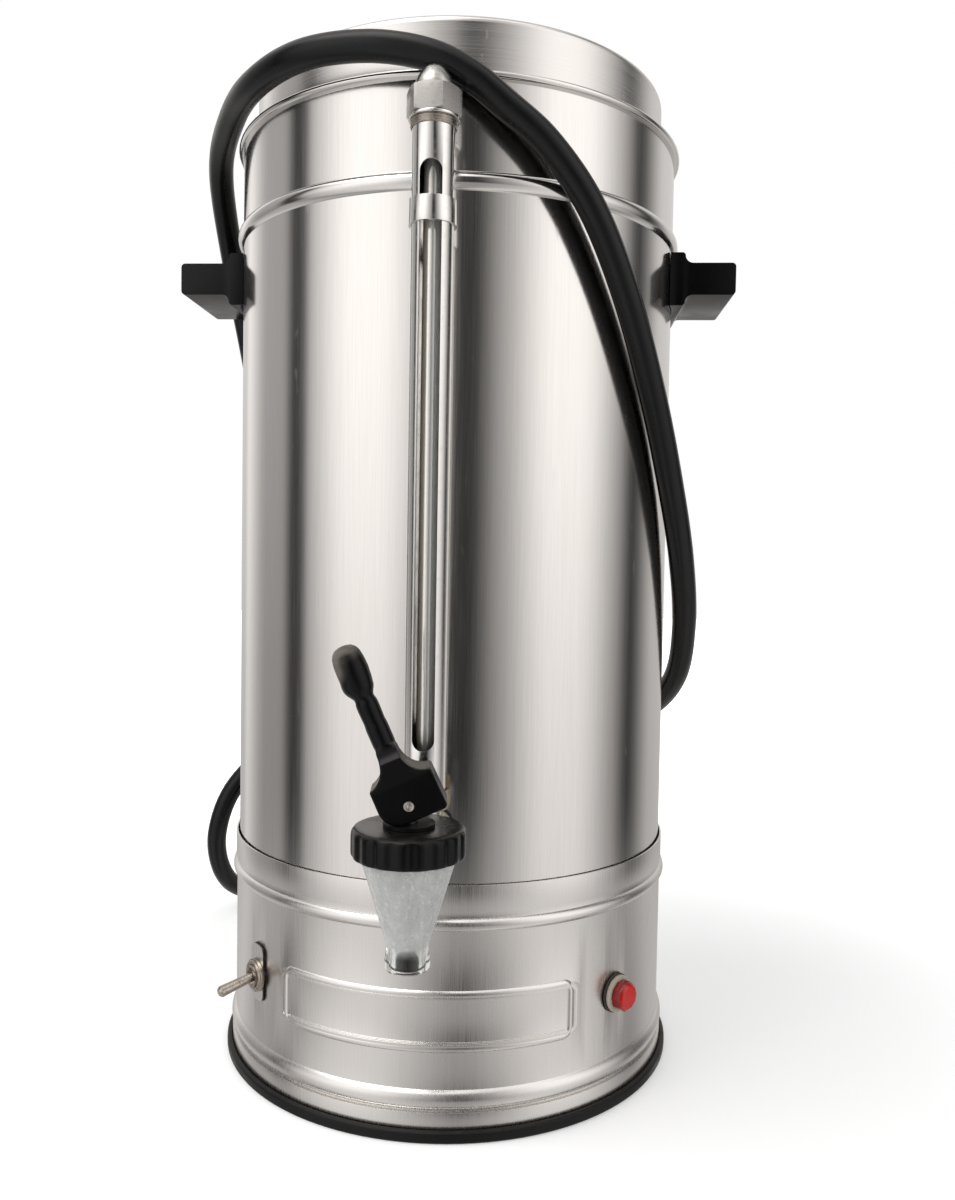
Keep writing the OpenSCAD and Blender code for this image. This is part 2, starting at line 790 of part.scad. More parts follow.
// Inlet shank with the riser that feeds the gauge.
module tap_shank() {
    inner_end = -body_r + 13;
    color(steel) difference() {
        union() {
            translate([0, port_y, shank_z]) rod_y(shank_r, inner_end - port_y);
            translate([0, port_y - spigot_len, shank_z]) rod_y(spigot_r, spigot_len + 1);
            translate([0, -body_r - 4.7, shank_z]) rod_y(shank_flange_r, 3);
            at_gauge(shank_z) cylinder(r = boss_r, h = boss_top_z - shank_z);
        }
        translate([0, port_y - spigot_len - 1, shank_z]) rod_y(shank_bore, inner_end - port_y + spigot_len + 2);
        at_gauge(shank_z) cylinder(r = glass_r - 1, h = 20);
    }
}

module shank_washer() {
    color(rubber) {
        translate([0, -body_r - 1.7, shank_z]) washer_y(shank_flange_r + 0.5, shank_r + 0.1, 1.4);
        translate([0, -wall_in + 0.8, shank_z]) washer_y(shank_flange_r, shank_r + 0.1, 1.6);
    }
}

module washer_y(r, bore, t) {
    difference() {
        rod_y(r, t);
        translate([0, -1, 0]) rod_y(bore, t + 2);
    }
}

module shank_nut() {
    color(nickel) translate([0, -wall_in + 2.6, shank_z]) rotate([-90, 0, 0])
        nut(21, 6, shank_r + 0.05);
}

// Clear conical body: inlet port at the back, valve seat, and the spout below.
module tap_body() {
    lip = 0.8;
    port_r = boss_r;
    color("gainsboro", 0.7) difference() {
        union() {
            translate([0, tap_y, 0]) turned() polygon([
                [0, spout_z], [cone_low_r, spout_z], [cone_low_r + lip, spout_z + 1.2],
                [cone_low_r + lip / 2, cone_low_z - 5], [cone_low_r, cone_low_z],
                [cone_r, bonnet_z], [neck_r, bonnet_z], [neck_r, neck_top_z], [0, neck_top_z]
            ]);
            translate([0, tap_y + chamber_r, shank_z]) rod_y(port_r, spigot_len);
        }
        translate([0, tap_y, 0]) {
            turned() polygon([
                [0, spout_z - 1], [spout_r, spout_z - 1], [spout_r, seat_z - 2], [spout_r + 2, seat_z],
                [8.4, seat_z], [chamber_r, seat_z + 12], [chamber_r, neck_top_z + 1], [0, neck_top_z + 1]
            ]);
        }
        translate([0, tap_y + 5, shank_z]) rod_y(spigot_r + 0.1, 30);
    }
}

// Fluted screw-on bonnet.
module tap_bonnet() {
    edge = 2.4;
    flute_r = 4.4;
    flute_depth = 0.7;
    color(black) translate([0, tap_y, bonnet_z]) difference() {
        turned() polygon(concat(
            [[neck_r + 0.15, 0]],
            arc(bonnet_r - 1.2, 1.2, 1.2, -90, 0, 4),
            arc(bonnet_r - edge, bonnet_h - edge, edge, 0, 90, 6),
            [[0, bonnet_h], [0, neck_top_z - bonnet_z + 0.2], [neck_r + 0.15, neck_top_z - bonnet_z + 0.2]]
        ));
        cylinder(r = stem_r + stem_gap, h = 2 * bonnet_h);
        for (i = [0:flutes - 1]) rotate([0, 0, i * 360 / flutes])
            translate([bonnet_r + flute_r - flute_depth, 0, -1]) cylinder(r = flute_r, h = bonnet_h + 2);
    }
}

module slip_washer() {
    color(black) translate([0, tap_y, washer_z]) difference() {
        cylinder(r = 10, h = washer_t);
        translate([0, 0, -1]) cylinder(r = stem_r + stem_gap, h = washer_t + 2);
    }
}

module tap_stem() {
    bottom = cup_z + 5;
    color(nickel) translate([0, tap_y, 0]) difference() {
        union() {
            translate([0, 0, bottom]) cylinder(r = stem_r, h = pin_z - bottom);
            translate([0, 0, cup_z + cup_h]) cylinder(r = 5.6, h = collar_h);
            rotate([0, 0, tap_turn]) translate([0, stem_r, pin_z]) rotate([90, 0, 0])
                cylinder(r = stem_r + 0.2, h = 2 * stem_r);
        }
        rotate([0, 0, tap_turn]) translate([0, 10, pin_z]) rotate([90, 0, 0])
            cylinder(r = pin_r + pin_fit, h = 20);
    }
}

// Silicone cup that closes the seat.
module seat_cup() {
    color(rubber) translate([0, tap_y, cup_z]) difference() {
        turned() polygon([
            [0, 0], [5, 0], [7.6, 3], [7.6, cup_h - 2], [6.4, cup_h], [0, cup_h]
        ]);
        translate([0, 0, 4.9]) cylinder(r = stem_r + 0.05, h = cup_h);
    }
}

// Compression spring between the stem's collar and the bonnet: one wire, wound as a helix.
spring_line = [for (i = [0:spring_turns * spring_rings])
    let (a = 360 * i / spring_rings, rise = (spring_top_z - spring_low_z) / (spring_turns * spring_rings))
    [spring_r * cos(a), spring_r * sin(a), spring_low_z + i * rise]];
spring_gap = min([for (i = [0:spring_rings * (spring_turns - 1) - 1]) for (k = [-1:1])
    norm(spring_line[i + spring_rings + k] - spring_line[i])]) - 2 * spring_wire_r;

module tap_spring() {
    last = len(spring_line) - 1;
    start_dir = unit(spring_line[1] - spring_line[0]);
    end_dir = unit(spring_line[last] - spring_line[last - 1]);
    echo(str("least gap between the spring's turns, mm: ", spring_gap));
    color(nickel) translate([0, tap_y, 0])
        tube(spring_line, line_dirs(spring_line, start_dir, end_dir), spring_wire_r, 6);
}

// The lever, in its own frame: pin at the origin, block upright, turned to its lean.
module lever_frame() {
    translate([0, tap_y, pin_z]) rotate([0, -lean, tap_turn]) children();
}

// Front outline of the block: flat foot, round cam at the left, and two hollow shoulders.
module block_front() {
    neck = 4.1;
    neck_z = 24;
    shoulder_r = 9.6;
    shoulder_z = 19.8;
    side_top = 9.5;
    polygon(concat(
        [[lever_right - 1, -cam_flat], [lever_right, 1 - cam_flat], [lever_right - 0.4, side_top]],
        arc(neck + shoulder_r, shoulder_z, shoulder_r, 262, 180, 8),
        [[neck, neck_z], [-neck, neck_z]],
        arc(-neck - shoulder_r, shoulder_z, shoulder_r, 0, -77, 8),
        [[-lever_left, side_top]],
        arc(-lever_left + cam_r, cam_r - cam_flat, cam_r, 180, 270, 12)
    ));
}

// Side outline of the block: full depth at the pin, drawn in towards the stick.
module block_side() {
    half = block_t / 2;
    slim = 4.4;
    polygon(concat(
        [[-half, -10], [half, -10], [half, 9]],
        arc(half + 4, 24, 7.6, 230, 180, 6),
        [[slim, 30], [-slim, 30]],
        arc(-half - 4, 24, 7.6, 0, -50, 6),
        [[-half, 9]]
    ));
}

// The stick and its bulb grip, about their own axis.
module stick_section() {
    polygon([
        [0, 20], [4.2, 20], [4.2, 32], [4.4, 43], [4.9, 44.8], [5.4, 47], [5.7, 50], [5.8, 54],
        [5.7, 58.5], [5.4, 61.2], [4.8, 62.8], [3.7, 63.9], [2, 64.4], [0, 64.6]
    ]);
}

// Fan-shaped slot in which the stem's eye swings.
module stem_slot() {
    swing_low = -4;
    swing_high = 2 * lean + 4;
    reach = 12;
    rotate([90, 0, 0]) linear_extrude(2 * (stem_r + slot_gap), center = true) {
        circle(r = stem_r + slot_gap + 0.4);
        for (a = [swing_low:8:swing_high]) rotate(-a) translate([-stem_r - slot_gap, -reach])
            square([2 * (stem_r + slot_gap), reach]);
    }
}

module tap_lever() {
    color(black) lever_frame() difference() {
        union() {
            intersection() {
                rotate([90, 0, 0]) linear_extrude(block_t + 4, center = true) block_front();
                rotate([90, 0, 90]) linear_extrude(60, center = true) block_side();
            }
            turned() stick_section();
        }
        stem_slot();
        translate([0, block_t, 0]) rotate([90, 0, 0]) cylinder(r = pin_r + 0.02, h = 2 * block_t);
    }
}

module lever_pin() {
    head = 0.6;
    reach = block_t / 2 + head;
    color(nickel) lever_frame() {
        translate([0, reach, 0]) rotate([90, 0, 0]) cylinder(r = pin_r, h = 2 * reach);
        for (end = [-1, 1]) translate([0, end * (reach - head / 2) + head / 2, 0])
            rotate([90, 0, 0]) cylinder(r = 2.1, h = head);
    }
}

// ---- Switch ----

// Stands its children on the switch's axis, out of the base shell by a distance.
module at_switch(out) {
    at_turn(-switch_turn, base_r + out, switch_z) children();
}

module switch_body() {
    body_w = 14;
    body_h = 22;
    depth = 20;
    inside = -sheet_t - 1.6;
    color("#3a2a22") at_switch(inside) translate([-body_w / 2, 0.6, -body_h / 2])
        cube([body_w, depth, body_h]);
    color(nickel) at_switch(bat_depth + 1.5) difference() {
        rod_y(bushing_r, bat_depth + 6);
        translate([0, -eps, 0]) rotate([-90, 0, 0]) cylinder(r1 = 4, r2 = 2.6, h = bat_depth);
        translate([0, bat_depth, 0]) sphere(r = bat_ball + seat_gap);
    }
    color("gold") at_switch(inside) for (z = [-7, 0, 7]) translate([-2, depth, z - 0.5]) cube([4, 9, 1]);
}

// Ring nut in two steps.
module switch_nut() {
    step_r = bushing_r + 1.5;
    rim_r = bushing_r + 2.5;
    color(nickel) at_switch(3.8) difference() {
        union() {
            rod_y(step_r, 1.4);
            translate([0, 1, 0]) rod_y(rim_r, 1.6);
        }
        translate([0, -1, 0]) rod_y(bushing_r + 0.05, 5);
    }
}

module switch_plate() {
    plate_w = 12.4;
    plate_h = 27.8;
    corner = 4;
    color(steel) at_switch(1.1) rotate([-90, 0, 0]) difference() {
        translate([0, -plate_rise, 0]) linear_extrude(0.8) rounded_rect(plate_w, plate_h, corner);
        translate([0, 0, -1]) cylinder(r = bushing_r + 0.2, h = 3);
    }
}

// The bat on its ball, which turns on two trunnions along the hinge's axis.
module switch_bat() {
    tip_h = 1.2;
    low_r = 2.1;
    high_r = 2.7;
    color(nickel) at_switch(1.5) rotate([bat_droop, 0, 0]) {
        sphere(r = bat_ball);
        translate([-bat_ball, 0, 0]) rotate([0, 90, 0]) cylinder(r = trunnion_r, h = 2 * bat_ball);
        rotate([90, 0, 0]) {
            cylinder(r1 = low_r, r2 = high_r, h = bat_len - tip_h);
            translate([0, 0, bat_len - tip_h]) cylinder(r1 = high_r, r2 = high_r - 1, h = tip_h);
        }
    }
}

// ---- Lamp ----

// Stands its children on the lamp's axis, out of the base shell by a distance.
module at_lamp(out) {
    at_turn(lamp_turn, base_r + out, lamp_z) children();
}

module lamp_bezel() {
    flange = 1.8;
    color(cream) at_lamp(3.1) difference() {
        union() {
            rod_y(lens_r + 1.7, flange);
            rod_y(lamp_barrel_r, 26);
        }
        translate([0, -1, 0]) rod_y(lens_r - 1.8, 12);
    }
}

module lamp_gasket() {
    color(rubber) at_lamp(1.2) washer_y(lens_r + 2.2, lamp_barrel_r + 0.1, 1);
}

// Faceted red lens, plugged into the bezel.
module lamp_lens() {
    facets = 10;
    side_h = 4.2;
    taper = 1.6;
    plug = 6;
    color("red") at_lamp(3.2) rotate([90, 0, 0]) {
        translate([0, 0, -plug]) cylinder(r = lens_r - 1.9, h = plug + 1);
        cylinder(r = lens_r, h = side_h, $fn = facets);
        translate([0, 0, side_h]) cylinder(r1 = lens_r, r2 = lens_r - taper, h = taper, $fn = facets);
    }
}

module lamp_nut() {
    color(nickel) at_lamp(-sheet_t - 2.6) rotate([-90, 0, 0])
        nut(16, 3.4, lamp_barrel_r + 0.05);
}

// ---- Cord ----

// Screwed gland with a ribbed strain relief.
module cord_gland() {
    flange_y = base_r + 0.3;
    relief_y = flange_y + 3;
    relief_end_y = route[0][1];
    ribs = 5;
    pitch = (relief_end_y - relief_y - 4) / ribs;
    color(rubber) translate([0, 0, gland_z]) {
        translate([0, flange_y, 0]) rod_y(12.5, 3);
        translate([0, flange_y - 13, 0]) rod_y(gland_neck_r, 14);
        difference() {
            translate([0, relief_y, 0]) rotate([-90, 0, 0])
                cylinder(r1 = 10.2, r2 = cord_d / 2 + 1.5, h = relief_end_y - relief_y);
            for (i = [1:ribs]) translate([0, relief_y + i * pitch, 0])
                washer_y(14, cord_d / 2 + 1, 1.6);
        }
    }
}

module gland_nut() {
    color(rubber) translate([0, base_in - 6.4, gland_z]) rotate([-90, 0, 0]) nut(25, 5, gland_neck_r + 0.05);
}

// A smooth curve through the route's points.
function route_at(i) = route[max(0, min(len(route) - 1, i))];
function bend(p0, p1, p2, p3, t) =
    0.5 * ((2 * p1) + (p2 - p0) * t + (2 * p0 - 5 * p1 + 4 * p2 - p3) * t * t
        + (3 * p1 - p0 - 3 * p2 + p3) * t * t * t);

cord_line = concat(
    [for (i = [0:len(route) - 2]) for (k = [0:cord_steps - 1])
        bend(route_at(i - 1), route_at(i), route_at(i + 1), route_at(i + 2), k / cord_steps)],
    [route[len(route) - 1]]
);

module cord() {
    start_dir = unit(route[1] - route[0]);
    end_dir = unit(route[len(route) - 1] - route[len(route) - 2]);
    color(rubber) tube(cord_line, line_dirs(cord_line, start_dir, end_dir), cord_d / 2, cord_sides);
}

// The plug hangs on the cord's end, pins down.
module at_plug() {
    end = route[len(route) - 1];
    translate(end) rotate([180, 0, 0]) children();
}

module plug_body() {
    color(rubber) at_plug() turned() polygon(concat(
        [[0, 0], [cord_d / 2 + 2, 0], [cord_d / 2 + 3, 12], [plug_r - 3, 20]],
        arc(plug_r - 3, 23, 3, -60, 0, 4),
        arc(plug_r - 1.5, plug_len - 1.5, 1.5, 0, 90, 4),
        [[0, plug_len]]
    ));
}

module plug_pins() {
    pin_gap = 19;
    pin_len = 19;
    color("silver") at_plug() for (side = [-1, 1]) translate([side * pin_gap / 2, 0, plug_len]) {
        cylinder(r = 2.4, h = pin_len - 1.4);
        translate([0, 0, pin_len - 1.4]) cylinder(r1 = 2.4, r2 = 1.2, h = 1.4);
    }
}

base_ring();
bottom_plate();
base_screws();
base_shell();
body_shell();
tank_floor();
heating_element();
thermostat();
thermal_fuse();
terminal_block();
lid();
lid_knob();
lid_knob_screw();
coffee_basket();
basket_floor();
basket_tube();
basket_cover();
pump_stem();
left_handle();
right_handle();
handle_screws();
gauge_glass();
gauge_guard();
gauge_band();
gauge_band_nut();
gauge_cap_nut();
gauge_top_seal();
gauge_bottom_seal();
gauge_bottom_nut();
tap_shank();
shank_washer();
shank_nut();
tap_body();
tap_bonnet();
slip_washer();
tap_stem();
seat_cup();
tap_spring();
tap_lever();
lever_pin();
switch_body();
switch_nut();
switch_plate();
switch_bat();
lamp_bezel();
lamp_gasket();
lamp_lens();
lamp_nut();
cord_gland();
gland_nut();
cord();
plug_body();
plug_pins();
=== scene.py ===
"""Looks of a brushed steel coffee urn: finishes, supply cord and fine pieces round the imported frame."""

import json
import logging
import math
from dataclasses import dataclass, field
from enum import Enum
from typing import Callable

import bpy
from bpy.types import ID, Material, MeshPolygon, Node, NodeOutputs, NodeSocket as Socket, NodeTree, Object
from mathutils import Matrix, Vector

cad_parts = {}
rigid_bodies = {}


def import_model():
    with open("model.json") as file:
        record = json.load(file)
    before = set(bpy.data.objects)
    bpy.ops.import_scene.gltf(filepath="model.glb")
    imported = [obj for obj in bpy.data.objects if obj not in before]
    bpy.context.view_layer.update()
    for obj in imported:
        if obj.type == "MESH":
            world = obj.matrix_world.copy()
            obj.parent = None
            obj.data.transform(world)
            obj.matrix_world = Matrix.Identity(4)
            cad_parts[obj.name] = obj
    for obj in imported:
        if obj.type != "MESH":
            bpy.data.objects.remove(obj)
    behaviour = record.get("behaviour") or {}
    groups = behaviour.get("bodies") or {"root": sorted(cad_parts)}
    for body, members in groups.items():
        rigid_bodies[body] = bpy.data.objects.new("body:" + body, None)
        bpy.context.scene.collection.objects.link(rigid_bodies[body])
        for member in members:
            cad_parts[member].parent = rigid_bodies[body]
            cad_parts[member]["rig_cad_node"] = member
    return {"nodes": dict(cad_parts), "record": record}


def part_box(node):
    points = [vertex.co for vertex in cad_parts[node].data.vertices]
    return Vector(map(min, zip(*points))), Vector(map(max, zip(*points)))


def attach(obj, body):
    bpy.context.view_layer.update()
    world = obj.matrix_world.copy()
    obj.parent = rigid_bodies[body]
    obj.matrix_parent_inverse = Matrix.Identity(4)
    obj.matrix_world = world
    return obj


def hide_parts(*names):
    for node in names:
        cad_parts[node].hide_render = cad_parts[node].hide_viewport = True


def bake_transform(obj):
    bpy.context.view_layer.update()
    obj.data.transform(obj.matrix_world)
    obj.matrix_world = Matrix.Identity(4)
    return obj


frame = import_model()

log = logging.getLogger("coffee_urn")

MM = 0.001
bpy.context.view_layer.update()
MIDDLE = (0.3, 0.7)  # where most of a noise's values lie

Span = tuple[float, float]
Colour = Point = tuple[float, float, float]


# -------- shader graphs


class Blend(Enum):
    """How two colours of a finish are laid over each other."""

    MIX = "MIX"
    MULTIPLY = "MULTIPLY"


class Graph:
    """Builds one node tree by short calls."""

    def __init__(self, tree: NodeTree) -> None:
        """Empties the tree.

        Args:
            tree: the node tree of a material or of the world.
        """
        self.tree = tree
        tree.nodes.clear()

    def node(self, kind: str, **settings: object) -> Node:
        """Adds a node.

        Args:
            kind: the node's Blender type, without its ShaderNode prefix.
            settings: properties to set on it.

        Returns:
            The new node.
        """
        made = self.tree.nodes.new("ShaderNode" + kind)
        for name, value in settings.items():
            setattr(made, name, value)
        return made

    def put(self, socket: Socket, value: object) -> None:
        """Links a socket to an output, or sets its own value.

        Args:
            socket: the input to feed.
            value: an output socket, a number, a colour or a vector.
        """
        if isinstance(value, Socket):
            self.tree.links.new(value, socket)
        elif value is not None:
            socket.default_value = value

    def feed(self, made: Node, **values: object) -> None:
        """Links or sets several inputs of a node, by name, with _ for a space."""
        for name, value in values.items():
            self.put(made.inputs[name.replace("_", " ")], value)

    def place(self, scale: Point = (1, 1, 1), centre: Point = (0, 0, 0)) -> Socket:
        """Object coordinates, moved and scaled.

        Args:
            scale: how many times the pattern repeats in a metre, on each axis.
            centre: the point that becomes the pattern's origin.

        Returns:
            The vector's socket.
        """
        source = self.node("TexCoord")
        moved = self.node("Mapping", vector_type="POINT")
        location = tuple(-c * s for c, s in zip(centre, scale))
        self.feed(moved, Location=location, Scale=scale, Vector=source.outputs["Object"])
        return moved.outputs["Vector"]

    def noise(self, vector: Socket, scale: float, detail: float = 3, rough: float = 0.5) -> Socket:
        """A noise value from 0 to 1 at a vector."""
        made = self.node("TexNoise")
        self.feed(made, Vector=vector, Scale=scale, Detail=detail, Roughness=rough)
        return made.outputs["Fac"]

    def range(self, value: Socket, low: float, high: float, to_low: float = 0,
              to_high: float = 1) -> Socket:
        """Maps a value's range to another one, smoothly and held at its ends."""
        made = self.node("MapRange", interpolation_type="SMOOTHSTEP")
        self.feed(made, Value=value, From_Min=low, From_Max=high, To_Min=to_low, To_Max=to_high)
        return made.outputs["Result"]

    def math(self, operation: str, first: object, second: object = None) -> Socket:
        """The result of a Math node on one or two values."""
        made = self.node("Math", operation=operation)
        self.put(made.inputs[0], first)
        self.put(made.inputs[1], second)
        return made.outputs["Value"]

    def times(self, first: object, second: object) -> Socket:
        """The product of two values."""
        return self.math("MULTIPLY", first, second)

    def plus(self, first: object, second: object) -> Socket:
        """The sum of two values."""
        return self.math("ADD", first, second)

    def mix(self, amount: object, low: object, high: object, how: Blend = Blend.MIX) -> Socket:
        """Lays one colour over another by an amount."""
        made = self.node("Mix", data_type="RGBA", blend_type=how.value)
        self.feed(made, Factor=amount, A=low, B=high)
        return made.outputs["Result"]

    def ramp(self, value: Socket, stops: dict[float, Colour]) -> Socket:
        """A colour that follows a value through stops.

        Args:
            value: the value, from 0 to 1.
            stops: colours by their place on the ramp.

        Returns:
            The colour's socket.
        """
        made = self.node("ValToRGB")
        elements = made.color_ramp.elements
        while len(elements) < len(stops):
            elements.new(0.5)
        for element, (place, colour) in zip(elements, sorted(stops.items())):
            element.position = place
            element.color = (*colour, 1)
        self.put(made.inputs["Fac"], value)
        return made.outputs["Color"]

    def split(self, vector: Socket) -> NodeOutputs:
        """The X, Y and Z of a vector."""
        made = self.node("SeparateXYZ")
        self.feed(made, Vector=vector)
        return made.outputs

    def bump(self, height: Socket, depth: float, strength: float) -> Socket:
        """A normal from a height.

        Args:
            height: the height, from 0 to 1.
            depth: how deep a height of 1 is, in metres.
            strength: how much of it shows.

        Returns:
            The normal's socket.
        """
        made = self.node("Bump")
        self.feed(made, Strength=strength, Distance=depth, Height=height)
        return made.outputs["Normal"]

    def length(self, vector: Socket) -> Socket:
        """A vector's length."""
        made = self.node("VectorMath", operation="LENGTH")
        self.put(made.inputs[0], vector)
        return made.outputs["Value"]

    def facing(self, turn: float) -> Socket:
        """How squarely a face looks out level at a turn from the front, in degrees; 1 is square on."""
        made = self.node("VectorMath", operation="DOT_PRODUCT")
        self.put(made.inputs[0], self.node("NewGeometry").outputs["Normal"])
        angle = math.radians(turn)
        made.inputs[1].default_value = (math.sin(angle), -math.cos(angle), 0)
        return made.outputs["Value"]

    def shaded(self, value: Socket, shares: Colour = (1, 1, 1)) -> Socket:
        """A colour whose channels are shares of one value."""
        made = self.node("CombineColor")
        for name, share in zip(("Red", "Green", "Blue"), shares):
            self.put(made.inputs[name], self.times(value, share))
        return made.outputs["Color"]

    def background(self, colour: object, strength: float = 1.0) -> Socket:
        """A Background shader."""
        made = self.node("Background")
        self.feed(made, Color=colour, Strength=strength)
        return made.outputs["Background"]

    def either(self, choice: Socket, low: Socket, high: Socket) -> Socket:
        """One shader where a choice is 0, and the other where it is 1."""
        made = self.node("MixShader")
        for socket, value in zip(made.inputs, (choice, low, high)):
            self.put(socket, value)
        return made.outputs["Shader"]

    def out(self, shader: Socket, kind: str = "OutputMaterial") -> None:
        """Puts a shader on the tree's output."""
        self.put(self.node(kind).inputs["Surface"], shader)

    def surface(self, **values: object) -> Node:
        """A Principled surface on the tree's output.

        Args:
            values: its inputs' values, by name.

        Returns:
            The Principled node.
        """
        made = self.node("BsdfPrincipled")
        self.feed(made, **values)
        self.out(made.outputs["BSDF"])
        return made


def grey(value: float) -> tuple[float, float, float, float]:
    """A plain grey as a colour."""
    return (value, value, value, 1)


@dataclass(frozen=True)
class Finish:
    """One finish of the urn. A subclass draws its graph."""

    name: str

    def material(self) -> Material:
        """The finish's material, made once."""
        made = bpy.data.materials.get(self.name)
        if made is None:
            made = bpy.data.materials.new(self.name)
            made.use_nodes = True
            self.draw(Graph(made.node_tree))
        return made

    def draw(self, graph: Graph) -> None:
        """Draws the finish's graph."""
        raise NotImplementedError


@dataclass(frozen=True)
class BrushedSteel(Finish):
    """Stainless sheet with a fine grain, faint stains and small scratches.

    The grain runs along one axis, or round the urn's axis where the sheet was spun.
    """

    tint: Colour = (0.74, 0.725, 0.705)
    stretch: Point = (1, 1, 0.010)
    spun: bool = False
    lines: float = 2800
    smooth: float = 0.115
    rough: float = 0.165
    depth: float = 0.000004
    stain: float = 0.05
    fine_share: float = 0.8
    clouds: float = 9
    warmth: Colour = (0.98, 0.95, 0.91)
    warm: float = 0.35
    scratches: float = 260

    def _grain(self, graph: Graph) -> Socket:
        """The vector along which the grain's noise is drawn out."""
        if not self.spun:
            return graph.place(self.stretch)
        way = graph.split(graph.place())
        squares = [graph.times(way[axis], way[axis]) for axis in "XY"]
        rings = graph.node("CombineXYZ")
        graph.feed(rings, X=graph.math("SQRT", graph.plus(*squares)), Z=way["Z"])
        return rings.outputs["Vector"]

    def draw(self, graph: Graph) -> None:
        """Draws the grain, its sheen, the stains and a few long scratches."""
        grain = self._grain(graph)
        fine = graph.noise(grain, self.lines, 3, 0.6)
        broad = graph.noise(grain, self.lines / 4, 2)
        cloud = graph.noise(graph.place(), self.clouds, 4, 0.55)
        shade = graph.plus(graph.times(fine, self.fine_share), graph.times(broad, 1 - self.fine_share))
        dark = tuple(c * (1 - self.stain) for c in self.tint)
        pale = tuple(min(1, c * (1 + self.stain * 0.4)) for c in self.tint)
        warm = tuple(c * share for c, share in zip(self.tint, self.warmth))
        colour = graph.mix(graph.range(shade, *MIDDLE), (*dark, 1), (*pale, 1))
        colour = graph.mix(graph.range(cloud, 0.50, 0.78, 0, self.warm), colour, (*warm, 1))
        scratch = graph.noise(graph.place((1, 1, 0.35)), self.scratches, 1)
        rough = graph.plus(graph.range(shade, *MIDDLE, self.smooth, self.rough),
                           graph.range(scratch, 0.70, 0.80, 0, 0.06))
        graph.surface(Base_Color=colour, Metallic=1.0, Roughness=rough,
                      Normal=graph.bump(fine, self.depth, 0.35))


@dataclass(frozen=True)
class PlateSteel(BrushedSteel):
    """Brushed steel of a small plate, whose side faces are painted dark as shade."""

    turn: float = -48.4
    # The colour of the painted shade on the plate's side faces.
    edge_shade: Colour = (0.035, 0.027, 0.022)

    def draw(self, graph: Graph) -> None:
        """Draws the brushed face, and painted shade where a face looks sideways."""
        super().draw(graph)
        shader = next(n for n in graph.tree.nodes if n.type == "BSDF_PRINCIPLED")
        # Faces that look sideways take the painted shade and lose their metal.
        face = graph.range(graph.facing(self.turn), 0.55, 0.85)
        clean = shader.inputs["Base Color"].links[0].from_socket
        graph.feed(shader, Base_Color=graph.mix(face, (*self.edge_shade, 1), clean), Metallic=face)


@dataclass(frozen=True)
class PolishedSteel(Finish):
    """Bright turned or plated metal with faint stains and turning marks."""

    tint: Colour = (0.78, 0.77, 0.75)
    stained: Colour = (0.52, 0.47, 0.40)
    stain: float = 0.30
    smooth: float = 0.07
    rough: float = 0.22
    spots: float = 160

    def draw(self, graph: Graph) -> None:
        """Draws the stains and their roughness."""
        cloud = graph.noise(graph.place(), self.spots, 5, 0.65)
        wear = graph.noise(graph.place(), self.spots * 6, 2, 0.5)
        amount = graph.range(cloud, 0.50, 0.78, 0, self.stain)
        colour = graph.mix(amount, (*self.tint, 1), (*self.stained, 1))
        rough = graph.plus(graph.range(cloud, 0.35, 0.75, self.smooth, self.rough),
                           graph.range(wear, 0.4, 0.7, 0, 0.05))
        graph.surface(Base_Color=colour, Metallic=1.0, Roughness=rough,
                      Normal=graph.bump(wear, 0.00002, 0.25))


@dataclass(frozen=True)
class Moulded(Finish):
    """Moulded plastic or rubber with a fine skin, a dusty film that settles on top, and grey places that
    are partly rubbed and partly painted highlight.
    """

    tint: Colour = (0.0035, 0.0035, 0.004)
    # The colour of dusty tops, and of the rubbed places, which carry painted highlight too.
    dust_and_highlight: Colour = (0.13, 0.115, 0.10)
    dusty: float = 0.22
    smooth: float = 0.14
    rough: float = 0.27
    skin: float = 900
    patches: float = 55
    specks: float = 420
    depth: float = 0.00002
    specular: float = 0.17

    def draw(self, graph: Graph) -> None:
        """Draws the skin, the dusty tops, and the rubbed places with their painted highlight."""
        place = graph.place()
        fine = graph.noise(place, self.skin, 3, 0.6)
        cloud = graph.noise(place, self.patches, 5, 0.6)
        up = graph.split(graph.node("NewGeometry").outputs["Normal"])["Z"]
        lying = graph.range(up, 0.35, 0.98)
        patches = graph.range(cloud, 0.38, 0.72, 0.15, 1)
        amount = graph.times(graph.times(lying, patches), self.dusty)
        speck = graph.range(graph.noise(place, self.specks, 2), 0.70, 0.82, 0, 0.03)
        # The rubbed places add grey that is partly wear and partly painted highlight.
        amount = graph.plus(graph.plus(amount, speck), self._rub_and_highlight(graph, cloud))
        colour = graph.mix(amount, (*self.tint, 1), (*self.dust_and_highlight, 1))
        rough = graph.plus(graph.range(cloud, *MIDDLE, self.smooth, self.rough), graph.times(amount, 0.5))
        graph.surface(Base_Color=colour, Roughness=rough, Specular_IOR_Level=self.specular,
                      Normal=graph.bump(fine, self.depth, 0.3))

    def _rub_and_highlight(self, graph: Graph, cloud: Socket) -> float | Socket:
        """How much a place is made grey by rubbing and painted highlight: nothing, on a piece that hands
        don't touch.
        """
        return 0.0


